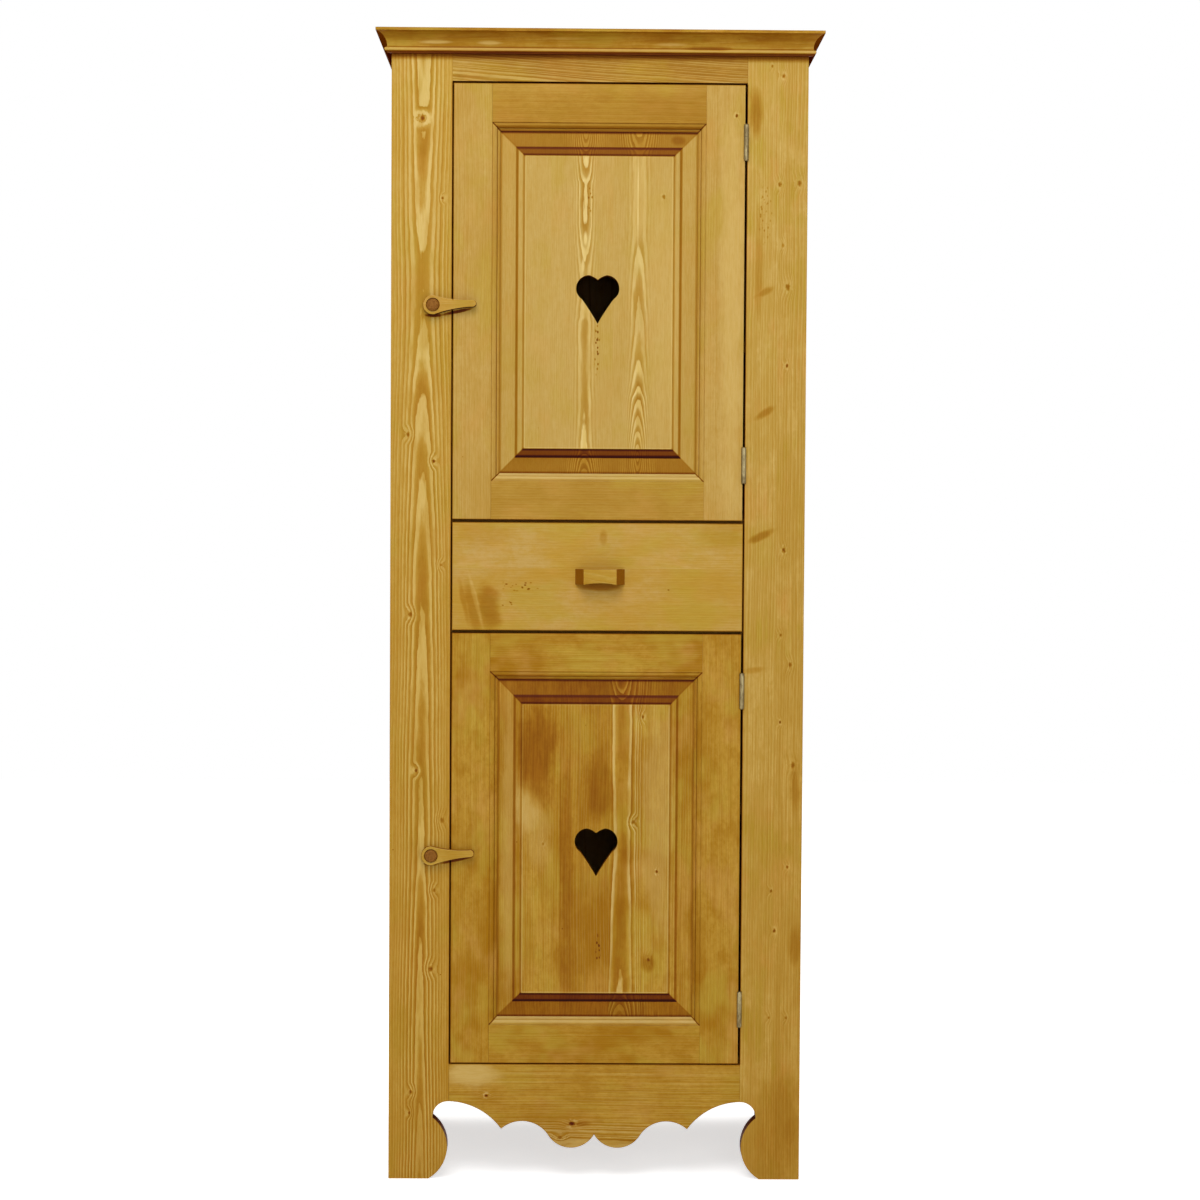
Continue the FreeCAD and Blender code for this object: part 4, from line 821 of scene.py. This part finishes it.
# %% Finish the bare boards
BARE = dict(stain=RAW_SPRUCE, deep=RAW_DEEP, line=RAW_LINE, ring=4.4, contrast=0.6, plain=0.5, blotch=0.5,
            edge=0.0, front_edge=0.2)
finishes["back_boards"] = spruce(
    "back_board_spruce", face=BACK_FACE, heart=(-290, -10, 1000), seed=35,
    strips=((-207, -140, 14, None, 0.02), (-67, 10, -20, None, 0), (73, 150, 12, None, 0.03),
            (213, 290, -16, None, 0.01)), **BARE)
PLAIN = {"back_boards": "xyz", "glue_blocks": "xyz"}
PLAIN |= dict.fromkeys(("top_board", "bottom_board", "lower_divider", "upper_divider", "upper_shelf",
                        "lower_shelf", "drawer_bottom"), "yzx")
PLAIN |= dict.fromkeys(("door_stop_batten", "drawer_back"), "zyx")
PLAIN |= dict.fromkeys(("shelf_battens", "drawer_guides", "drawer_left_side", "drawer_right_side"), "zxy")
for number, (node, order) in enumerate(PLAIN.items()):
    low, high = ([place / MM for place in corner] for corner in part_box(node))
    across, through = ("xyz".index(letter) for letter in order[:2])
    if node not in finishes:
        finishes[node] = spruce(
            node + "_spruce", order, face=max(low[through], high[through], key=abs), seed=100 + 5 * number,
            heart=((low[across] + high[across]) / 2 + 30 * math.sin(number), 10 + 4 * (number % 3), 0),
            **BARE)
    print(node, [round(b - a, 1) for a, b in zip(low, high)], "top", round(high[2], 1))

# %% [markdown]
# The doors' frames are quiet and evenly stained, the lower one darker. Each panel is glued up from three
# boards: two narrow columns of flames run down the upper one.

# %% Stain the doors
for door, stain, deep, rail, rail_deep, uneven_stain in (
        ("upper", paint(193, 158, 86), paint(183, 144, 66), paint(183, 144, 61), paint(171, 129, 45), 1.2),
        ("lower", AMBER, DEEP_AMBER, AMBER, DEEP_AMBER, 1.6)):
    frame_stain_and_shade = door_frame_stain_and_shade(door)
    # The two dark patches just below the turn buttons' arms are painted shadows of the buttons.
    finishes[door + "_stile"] = spruce(
        door + "_door_stile_spruce", stain=stain, deep=deep, heart=(-60, 90, 1000), taper=0.005, ring=3.6,
        seed=50 if door == "upper" else 57, contrast=0.2, plain=0.35, blotch=uneven_stain,
        streak=0.25 * uneven_stain, edge=0.65, dress=frame_stain_and_shade,
        knots=((236, 1855, 2.6, 0.8),) if door == "upper" else (),
        smears_and_shadows=((-243, 1515, 30, 3, 1.2, -12.5), (-243, 561, 30, 2.6, 0.9, -12.5)),
        pale_wear_and_highlight=((230, 1530, 24, 420, 0.9),) if door == "upper" else ())
    finishes[door + "_rail"] = spruce(
        door + "_door_rail_spruce", "zyx", stain=rail, deep=rail_deep, heart=(1300, 90, 0), taper=0.005,
        ring=3.6, edge=0.5, under=0.2, seed=61, contrast=0.2, plain=0.35, blotch=uneven_stain,
        streak=0.25 * uneven_stain, dress=frame_stain_and_shade, smears_and_shadows=((1850, 0, 60, 400, 0.08),))
finishes["upper_panel"] = spruce(
    "upper_panel_spruce", stain=paint(192, 159, 88), deep=paint(187, 151, 74), heart=(-420, 90, 1500),
    face=-211, taper=0.0, ring=3.1, seed=66, reach=26, wander=0.7, uneven=0.0, contrast=0.82, plain=0.12,
    blotch=0.8, streak=0.2, edge=0.3, dress=panel_stain_and_shade("upper"), knots=((111, 1715, 3.2, 0.35),),
    pricks=((-3, 1455, 5, 45, 0.9), (-16, 1720, 6, 40, 0.4)),
    smears_and_shadows=((-22, 1430, 6, 200, 0.06), (72, 1330, 8, 130, 0.06), (136, 1813, 14, 9, 0.2)),
    pale_wear_and_highlight=((68, 1715, 17, 96, 0.75), (112, 1530, 36, 260, 0.5)),
    bright=((66.5, 1703, 1.5, 92, 0.75), (-28, 1742, 2.2, 3.4, 0.8), (-24, 1642, 3.6, 14, 0.9),
            (-28, 1596, 3, 14, 0.7), (-24, 1775, 3.4, 10, 0.6)),
    strips=(
        (-84, -25, 0,
         ((1180, 6.0), (1285, 6.75), (1352, 7), (1427, 7.25), (1495, 7.4), (1507, 7.75), (1527, 8),
          (1550, 8.3), (1572, 8), (1590, 7.8), (1604, 7.45), (1626, 7), (1632, 6.85), (1656, 6.5),
          (1668, 6.3), (1736, 6.2), (1743, 5.9), (1750, 5.6), (1765, 5.1), (1786, 4.7), (1840, 4.2),
          (1880, 3.8)), 0.0),
        (24, 69, 0,
         ((1180, 0.4), (1260, 1), (1290, 2), (1312, 3), (1335, 4), (1364, 5), (1385, 6), (1442, 7),
          (1557, 8), (1632, 9), (1650, 9.2), (1743, 9.3), (1790, 9.4), (1835, 10), (1880, 11)), 0.0)))
finishes["lower_panel"] = spruce(
    "lower_panel_spruce", stain=AMBER, deep=DEEP_AMBER, heart=(-400, 90, 600), face=-211, taper=0.01,
    ring=4.4, seed=73, reach=60, wander=1.4, uneven=0.5, contrast=0.5, plain=0.28, blotch=1.2, streak=0.6,
    edge=0.3, dress=panel_stain_and_shade("lower"),
    knots=((81, 813, 2.8, 0.5), (65, 629, 3, 0.5), (107, 542, 2.6, 0.9), (93, 387, 3, 0.5),
           (-92, 590, 2.2, 0.3)),
    smears_and_shadows=((-102, 750, 38, 98, 0.34), (-50, 560, 13, 200, 0.17), (4, 684, 24, 66, 0.2),
            (-52, 372, 20, 60, 0.14), (93, 381, 13, 17, 0.24), (-62, 560, 1.2, 230, 0.25),
            (52, 580, 10, 40, 0.14), (60, 664, 8, 30, 0.12)),
    pale_wear_and_highlight=((-120, 655, 28, 52, 0.7), (108, 640, 30, 230, 0.4), (-100, 600, 24, 60, 0.3),
            (-152, 600, 14, 330, 0.45)), pricks=((5, 405, 5, 30, 0.9),),
    strips=((-62, 120, 80, None, 0.06),
            (24, 44, 0,
             ((200, 4.4), (334, 5.2), (520, 6), (560, 6.12), (640, 6.15), (830, 6.25), (960, 6.3)), -0.02)))
print("all finishes:", len(finishes))

# %% [markdown]
# ## Metal and turned pegs
# The hinges are cast and filed steel that has gone dull, greyish beige where they were rubbed. The pegs
# that hold the turn buttons were turned from a darker wood. Both are small, so a cloudy colour, a little
# brushed grain and uneven roughness are enough to keep them from looking like plastic.

# %% Finish the hinges, nails and pegs
def metal(name, bright, dull, pale_wear_and_highlight, rough):
    """Filed or forged metal, cloudy brown in patches and brushed one way."""
    finish, tree, shader = new_finish(name)
    place = add(tree, "TexCoord", "Object")
    brushed = cloud(tree, place, 900.0, (1, 1, 12), 3.0, 0.6, 2.0)
    worn = cloud(tree, place, 90.0, (1, 1, 2), 4.0, 0.6, 5.0)
    colour = tint(tree, fade(tree, worn, 0.4, 0.65), bright, dull)
    colour = tint(tree, fade(tree, brushed, 0.3, 0.7, 0.0, 0.25), colour, pale_wear_and_highlight)
    feed(tree, shader.inputs["Base Color"], colour)
    feed(tree, shader.inputs["Roughness"], fade(tree, worn, 0.3, 0.7, rough, rough + 0.24))
    shader.inputs["Metallic"].default_value = 0.85
    feed(tree, shader.inputs["Normal"], add(tree, "Bump", inlets={
        "Strength": 0.3, "Distance": 0.2 * MM, "Height": brushed}))
    return finish


def peg_wood():
    """Dark turned wood with a fine fibre."""
    finish, tree, shader = new_finish("dark_turned_peg_wood")
    place = add(tree, "TexCoord", "Object")
    fibres = cloud(tree, place, 500.0, (1, 4, 1), 3.0, 0.6, 3.0)
    colour = tint(tree, fade(tree, fibres, 0.3, 0.7), paint(146, 96, 34), paint(112, 66, 14))
    feed(tree, shader.inputs["Base Color"], colour)
    feed(tree, shader.inputs["Roughness"], fade(tree, fibres, 0.3, 0.7, 0.55, 0.65))
    shader.inputs["Specular IOR Level"].default_value = 0.12
    feed(tree, shader.inputs["Normal"], add(tree, "Bump", inlets={
        "Strength": 0.4, "Distance": 0.2 * MM, "Height": fibres}))
    return finish


finishes["steel"] = metal(
    "filed_hinge_steel", paint(152, 138, 98), paint(100, 82, 46), paint(182, 172, 136), 0.34)
finishes["iron"] = metal("black_nail_iron", paint(74, 66, 58), paint(62, 42, 28), paint(110, 102, 92), 0.5)
finishes["peg"] = peg_wood()

# %% [markdown]
# ## Easing the edges
# A joiner takes the sharp arris off every board before staining it. Sharp CAD edges catch no light and
# look like cardboard. Each board's mesh is copied and its loose triangles joined into whole faces, and
# then every sharp edge is cut back by a small bevel. The edge could be faked in the shader, but a real
# bevel also shows in the outline.

# %% Copy and ease the boards
SHARP = math.radians(28)


def copy_board(node, name):
    """A joined-up copy of a CAD part's mesh, as a new object."""
    mesh = frame["nodes"][node].data.copy()
    mesh.name = name
    shape = bmesh.new()
    shape.from_mesh(mesh)
    bmesh.ops.remove_doubles(shape, verts=shape.verts, dist=0.01 * MM)
    bmesh.ops.dissolve_limit(shape, angle_limit=math.radians(0.5), verts=shape.verts, edges=shape.edges)
    bmesh.ops.recalc_face_normals(shape, faces=shape.faces)
    shape.to_mesh(mesh)
    shape.free()
    mesh.materials.clear()
    if "custom_normal" in mesh.attributes:
        mesh.attributes.remove(mesh.attributes["custom_normal"])
    piece = bpy.data.objects.new(name, mesh)
    bpy.context.scene.collection.objects.link(piece)
    return piece


def ease(piece, width, steps=2):
    """Rounds a board's sharp edges a little and shades its curves smoothly."""
    bevel = piece.modifiers.new("eased_edges", "BEVEL")
    bevel.width, bevel.segments = width * MM, steps
    bevel.limit_method, bevel.angle_limit = "ANGLE", SHARP
    bevel.use_clamp_overlap = True
    bevel.harden_normals = True
    piece.data.shade_smooth()
    piece.data.set_sharp_from_angle(angle=SHARP)


def finish_piece(piece, finish, slot, *nodes):
    """Gives a piece its finish, and puts it in place of its CAD parts and on their body."""
    piece.data.materials.append(finishes[finish])
    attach(piece, frame["nodes"][nodes[0]]["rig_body"])
    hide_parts(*nodes)


BOARDS = {"left_stile": ("left_stile", 1.2), "right_stile": ("right_stile", 1.2),
          "top_rail": ("frieze", 0.5), "apron_rail": ("apron", 0.9), "left_side": ("left_side", 0.8),
          "right_side": ("right_side", 0.8), "drawer_front": ("drawer_front", 0.9),
          "drawer_pull": ("fittings", 1.6), "upper_latch": ("fittings", 1.3),
          "lower_latch": ("fittings", 1.3), "upper_door_panel": ("upper_panel", 0.25),
          "lower_door_panel": ("lower_panel", 0.25)}
for door in DOORS:
    for side in ("latch_stile", "hinge_stile"):
        BOARDS[f"{door}_door_{side}"] = (door + "_stile", 0.7)
    for side in ("top_rail", "bottom_rail"):
        BOARDS[f"{door}_door_{side}"] = (door + "_rail", 0.3)
for node, (finish, width) in BOARDS.items():
    piece = copy_board(node, node + "_board")
    ease(piece, width)
    finish_piece(piece, finish, "stained_spruce", node)
print("eased and stained:", len(BOARDS))

# %% [markdown]
# ## The plain boards inside
# Shelves, dividers, battens and the drawer's box are unstained spruce, planed and left. They are seen
# when a door stands open, so they get eased edges and their own paler grain too.

# %% Ease the plain boards
NAIL_PROUD = 0.6 * MM
for node in PLAIN:
    piece = copy_board(node, node + "_board")
    if node == "back_boards":
        for point in piece.data.vertices:
            point.co.y = min(point.co.y, BACK_FACE * MM - NAIL_PROUD)
    ease(piece, 0.6)
    finish_piece(piece, node, "stained_spruce" if node == "top_board" else "plain_spruce", node)
print("plain boards:", len(PLAIN))

# %% [markdown]
# ## Small things that repeat
# Screws, nails and runs of moulding follow rules, so Geometry Nodes make them: a tree of steps takes a few
# named sizes and builds the shape. Copying a finished screw by hand would do too, but with a tree a size is
# changed in one place, and each copy can be turned a little by chance, as a joiner's hand leaves it. The
# result is baked to a plain mesh, so that nothing is left to compute later.

# %% Make the Geometry Nodes tools
QUARTER = math.pi / 2
SOCKETS = {float: "Float", int: "Int", tuple: "Vector", str: "Material"}


def recipe(name, **sizes):
    """An empty Geometry Nodes tree with named inputs. Gives the tree and what comes in."""
    tree = bpy.data.node_groups.new(name, "GeometryNodeTree")
    for way in ("INPUT", "OUTPUT"):
        tree.interface.new_socket("Geometry", in_out=way, socket_type="NodeSocketGeometry")
    for label, value in sizes.items():
        socket = tree.interface.new_socket(label, in_out="INPUT",
                                           socket_type="NodeSocket" + SOCKETS[type(value)])
        if not isinstance(value, str):
            socket.default_value = value
    return tree, tree.nodes.new("NodeGroupInput").outputs


def step(tree, kind, inlets=None, outlet=0, **settings):
    """Adds a geometry step, and hands back one outlet."""
    made = tree.nodes.new(kind)
    for key, value in settings.items():
        setattr(made, key, value)
    for inlet, value in (inlets or {}).items():
        if isinstance(value, list):
            for one in value:
                tree.links.new(one, made.inputs[inlet])
        else:
            feed(tree, made.inputs[inlet], value)
    return made.outputs[outlet]


def finish_recipe(tree, geometry, given):
    """Ends a tree: real copies in place of references, and one finish."""
    real = step(tree, "GeometryNodeRealizeInstances", {"Geometry": geometry})
    done = step(tree, "GeometryNodeSetMaterial", {"Geometry": real, "Material": given["Finish"]})
    tree.links.new(done, tree.nodes.new("NodeGroupOutput").inputs[0])


def follow(name, start, tree, finish, **sizes):
    """Runs a tree on a starting mesh and bakes the result as a new piece."""
    piece = bpy.data.objects.new(name, start)
    bpy.context.scene.collection.objects.link(piece)
    steps = piece.modifiers.new(tree.name, "NODES")
    steps.node_group = tree
    for item in tree.interface.items_tree:
        if item.item_type == "SOCKET" and item.in_out == "INPUT" and item.name != "Geometry":
            label = item.name.replace(" ", "_").lower()
            if label == "finish":
                steps[item.identifier] = finishes[finish]
            elif label in sizes:
                steps[item.identifier] = sizes[label]
    bpy.context.view_layer.update()
    baked = bpy.data.meshes.new_from_object(piece.evaluated_get(bpy.context.evaluated_depsgraph_get()))
    baked.name = name
    if baked.materials[0] is None:
        baked.materials.pop(index=0)
    piece.modifiers.remove(steps)
    piece.data = baked
    return piece


def points_mesh(name, spots):
    """A mesh of loose points, in millimetres."""
    mesh = bpy.data.meshes.new(name)
    mesh.from_pydata([[c * MM for c in spot] for spot in spots], [], [])
    return mesh


def place_piece(piece, body, slot, *nodes):
    """Puts a piece on its body and in place of CAD parts."""
    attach(piece, body)
    if nodes:
        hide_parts(*nodes)
    print(piece.name, len(piece.data.polygons), "faces")


# %% [markdown]
# ## The cornice
# A joiner planes one long strip of moulding and saws it at 45 degrees for the corners. The tree does the
# same: it draws the moulding's section out to a full length, and then slides each point of an end along by
# as much as it stands out from the wall, which is just what a mitre saw does.

# %% Run the cornice in mitred lengths
CORNICE_LIP, BEAD_RADIUS, CORNICE_NECK, CORNICE_OUT = 2, 4, 8, 26
CORNICE_TOP, FILLET, HOLLOW_THROUGH = 1997.5, 5, (11.6, 1982.81)


def arc_through(first, middle, last, steps):
    """Points on the circle through three points, from the first to the last."""
    (ax, ay), (bx, by), (cx, cy) = first, middle, last
    twice = 2 * (ax * (by - cy) + bx * (cy - ay) + cx * (ay - by))
    a2, b2, c2 = ax * ax + ay * ay, bx * bx + by * by, cx * cx + cy * cy
    ox = (a2 * (by - cy) + b2 * (cy - ay) + c2 * (ay - by)) / twice
    oy = (a2 * (cx - bx) + b2 * (ax - cx) + c2 * (bx - ax)) / twice
    start, through, end = (math.atan2(y - oy, x - ox) for x, y in (first, middle, last))
    sweep = (end - start) % math.tau
    if (through - start) % math.tau > sweep:
        sweep -= math.tau
    radius = math.hypot(ax - ox, ay - oy)
    return [(ox + radius * math.cos(start + sweep * k / steps),
             oy + radius * math.sin(start + sweep * k / steps)) for k in range(steps + 1)]


bead_foot, bead_top = CORNICE_BASE + CORNICE_LIP, CORNICE_BASE + CORNICE_LIP + 2 * BEAD_RADIUS
section = [(0, CORNICE_BASE), (CORNICE_NECK, CORNICE_BASE)]
section += arc_through((CORNICE_NECK, bead_foot), (CORNICE_NECK + BEAD_RADIUS, bead_foot + BEAD_RADIUS),
                       (CORNICE_NECK, bead_top), 12)
section += arc_through((CORNICE_NECK, bead_top), HOLLOW_THROUGH, (CORNICE_OUT, CORNICE_TOP - FILLET), 16)[1:]
section += [(CORNICE_OUT, CORNICE_TOP), (0, CORNICE_TOP)]

moulding_run, given = recipe("moulding_run", **{"Left": -SIDE_FACE * MM, "Right": SIDE_FACE * MM,
                                                "Left Mitre": 1.0, "Right Mitre": 1.0, "Finish": ""})
tree = moulding_run
far_end = step(tree, "GeometryNodeFlipFaces", {"Mesh": given["Geometry"]})
one_long = step(tree, "ShaderNodeCombineXYZ", {"X": 1.0})
drawn = step(tree, "GeometryNodeExtrudeMesh", {"Mesh": far_end, "Offset": one_long, "Individual": False},
             mode="FACES")
closed = step(tree, "GeometryNodeJoinGeometry", {"Geometry": [given["Geometry"], drawn]})
closed = step(tree, "GeometryNodeMergeByDistance", {"Geometry": closed, "Distance": 0.01 * MM})
place = step(tree, "ShaderNodeSeparateXYZ", {0: step(tree, "GeometryNodeInputPosition")}).node.outputs
left_end = given["Left"] + place["Y"] * given["Left Mitre"]
right_end = given["Right"] - place["Y"] * given["Right Mitre"]
run = left_end + place["X"] * (right_end - left_end)
mitred = step(tree, "ShaderNodeCombineXYZ", {"X": run, "Y": place["Y"], "Z": place["Z"]})
finish_recipe(tree, step(tree, "GeometryNodeSetPosition", {"Geometry": closed, "Position": mitred}), given)

for node, finish, ends, lay in (
        ("cornice_front", "cornice", (-SIDE_FACE, SIDE_FACE, 1.0, 1.0),
         Matrix.Translation((0, FRONT_FACE * MM, 0))),
        ("cornice_left", "cornice_return", (-BACK_FACE, -FRONT_FACE, 0.0, 1.0),
         Matrix.Translation((-SIDE_FACE * MM, 0, 0)) @ Matrix.Rotation(-QUARTER, 4, "Z")),
        ("cornice_right", "cornice_return", (FRONT_FACE, BACK_FACE, 1.0, 0.0),
         Matrix.Translation((SIDE_FACE * MM, 0, 0)) @ Matrix.Rotation(QUARTER, 4, "Z"))):
    start = bpy.data.meshes.new(node + "_section")
    start.from_pydata([(0, -out * MM, up * MM) for out, up in section], [], [list(range(len(section)))])
    piece = follow(node + "_run", start, moulding_run, finish, left=ends[0] * MM, right=ends[1] * MM,
                   left_mitre=ends[2], right_mitre=ends[3])
    piece.data.transform(lay)
    ease(piece, 0.45)
    place_piece(piece, "carcass", "stained_spruce", node)

# %% [markdown]
# ## Screws
# The hinge leaves and the drawer pull are held by slotted countersunk screws. The tree turns a head and a
# tapered shank, saws the slot across, and sets one screw on each point with its slot at a chance angle.

# %% Turn and drive the screws
slotted_screws, given = recipe("slotted_screws", **{"Head Width": 6.8 * MM, "Shank Width": 3.2 * MM,
                                                    "Length": 16 * MM, "Slot Width": 0.8 * MM,
                                                    "Slot Depth": 0.9 * MM, "Facing": (0.0, 0.0, 0.0),
                                                    "Seed": 1, "Finish": ""})
tree = slotted_screws
head_depth = (given["Head Width"] - given["Shank Width"]) * 0.5
half_head, half_shank = (given[width] * 0.5 for width in ("Head Width", "Shank Width"))


def lift(tree, mesh, height):
    """Moves a mesh along its own axis."""
    up = step(tree, "ShaderNodeCombineXYZ", {"Z": height})
    return step(tree, "GeometryNodeTransform", {"Geometry": mesh, "Translation": up})


def turned_by_chance(tree, facing, seed):
    """A way to face, spun about its own axis by chance."""
    spin = step(tree, "FunctionNodeRandomValue", {"Min": 0.0, "Max": math.pi, "Seed": seed},
                outlet="Value", data_type="FLOAT")
    faced = step(tree, "FunctionNodeEulerToRotation", {0: facing})
    spun = step(tree, "FunctionNodeAxisAngleToRotation", {"Axis": (0, 0, 1), "Angle": spin})
    return step(tree, "FunctionNodeRotateRotation", {"Rotation": faced, "Rotate By": spun},
                rotation_space="LOCAL")


head = step(tree, "GeometryNodeMeshCone", {"Vertices": 24, "Radius Top": half_head,
                                           "Radius Bottom": half_shank, "Depth": head_depth})
head = lift(tree, head, head_depth * -1.0)
shank = step(tree, "GeometryNodeMeshCone", {"Vertices": 16, "Radius Top": half_shank,
                                            "Radius Bottom": half_shank * 0.15,
                                            "Depth": given["Length"] - head_depth * 0.8})
shank = lift(tree, shank, given["Length"] * -1.0)
saw_cut = step(tree, "ShaderNodeCombineXYZ", {"X": given["Head Width"] * 1.3, "Y": given["Slot Width"],
                                              "Z": given["Slot Depth"] * 2.0})
slot = step(tree, "GeometryNodeMeshCube", {"Size": saw_cut})
whole = step(tree, "GeometryNodeMeshBoolean", {"Mesh 2": [head, shank]}, operation="UNION", solver="EXACT")
one_screw = step(tree, "GeometryNodeMeshBoolean", {"Mesh 1": whole, "Mesh 2": slot}, operation="DIFFERENCE",
                 solver="EXACT")
turned = turned_by_chance(tree, given["Facing"], given["Seed"])
driven = step(tree, "GeometryNodeInstanceOnPoints", {"Points": given["Geometry"], "Instance": one_screw,
                                                     "Rotation": turned})
finish_recipe(tree, driven, given)

HINGE_SCREWS = {"upper": (1230.5, 1251.5, 1272.5, 1788, 1809, 1830),
                "lower": (279.5, 300.5, 321.5, 838, 859, 880)}
LEAF_MIDDLE, FRAME_HEADS, DOOR_HEADS = -201.5, 255, 251
HINGE_SCREW, PULL_SCREW = 16, 33.4
frame_spots = [(FRAME_HEADS, LEAF_MIDDLE, z) for heights in HINGE_SCREWS.values() for z in heights]
driven_screws = [("frame_hinge_screws", "carcass", frame_spots, (0.0, -QUARTER, 0.0), HINGE_SCREW)]
for door, heights in HINGE_SCREWS.items():
    spots = [(DOOR_HEADS, LEAF_MIDDLE, z) for z in heights]
    body = door + "_door"
    driven_screws.append((body + "_hinge_screws", body, spots, (0.0, QUARTER, 0.0), HINGE_SCREW))
spots = [(-15.5, -186.5, 1056.75), (24.5, -186.5, 1056.75)]
driven_screws.append(("drawer_pull_screws", "drawer", spots, (-QUARTER, 0.0, 0.0), PULL_SCREW))
for number, (node, body, spots, facing_turn, length) in enumerate(driven_screws):
    piece = follow(node + "_slotted", points_mesh(node + "_spots", spots), slotted_screws, "steel",
                   facing=facing_turn, length=length * MM, seed=number + 3)
    place_piece(piece, body, "hinge_steel", node)

# %% [markdown]
# ## Nails in the back
# The back boards are fixed with hand-made nails, two to a board wherever a shelf or a rail crosses. Their
# heads have four hammered facets. The tree draws a head as a low four-sided cone and sets one on each
# point, a little out of line and turned by chance.

# %% Drive the nails
rose_nails, given = recipe("rose_nails", **{"Head Width": 9.0 * MM, "Proud": NAIL_PROUD, "Sunk": 0.2 * MM,
                                            "Stray": 2.5 * MM, "Seed": 1, "Finish": ""})
tree = rose_nails
half_head = given["Head Width"] * 0.5
nail = step(tree, "GeometryNodeMeshCone", {"Vertices": 4, "Side Segments": 1,
                                           "Radius Top": half_head * 0.35, "Radius Bottom": half_head,
                                           "Depth": given["Proud"] + given["Sunk"]})
nail = lift(tree, nail, given["Sunk"] * -1.0)
stray = step(tree, "FunctionNodeRandomValue", {"Min": (-1, 0, -1), "Max": (1, 0, 1), "Seed": given["Seed"]},
             outlet="Value", data_type="FLOAT_VECTOR")
stray = step(tree, "ShaderNodeVectorMath", {0: stray, "Scale": given["Stray"]}, operation="SCALE")
moved = step(tree, "GeometryNodeSetPosition", {"Geometry": given["Geometry"], "Offset": stray})
turned = turned_by_chance(tree, (-QUARTER, 0, 0), given["Seed"])
driven = step(tree, "GeometryNodeInstanceOnPoints", {"Points": moved, "Instance": nail, "Rotation": turned})
finish_recipe(tree, driven, given)

BOARD_MIDDLES, NAIL_APART = (-277.4, -137.2, 3, 143.2, 280.4), 46
NAIL_ROWS = (1459, 1153, 960.5, 649, 200.5)
spots = [(middle + side * NAIL_APART, BACK_FACE - NAIL_PROUD / MM, row) for row in NAIL_ROWS
         for middle in BOARD_MIDDLES for side in (-1, 1)]
piece = follow("back_board_nails", points_mesh("nail_spots", spots), rose_nails, "iron", seed=11)
place_piece(piece, "carcass", "hinge_steel")

# %% [markdown]
# ## Hinges and pegs
# The hinge leaves, their pins and the turned pegs already have the right shape, so the CAD parts stay
# and only take a better finish.

# %% Dress the hinges and pegs
for node, part in frame["nodes"].items():
    if any(word in node for word in ("leaves", "pins", "peg")):
        part.data.materials.clear()
        part.data.materials.append(finishes["peg" if "peg" in node else "steel"])

# %% Update the scene
bpy.context.view_layer.update()
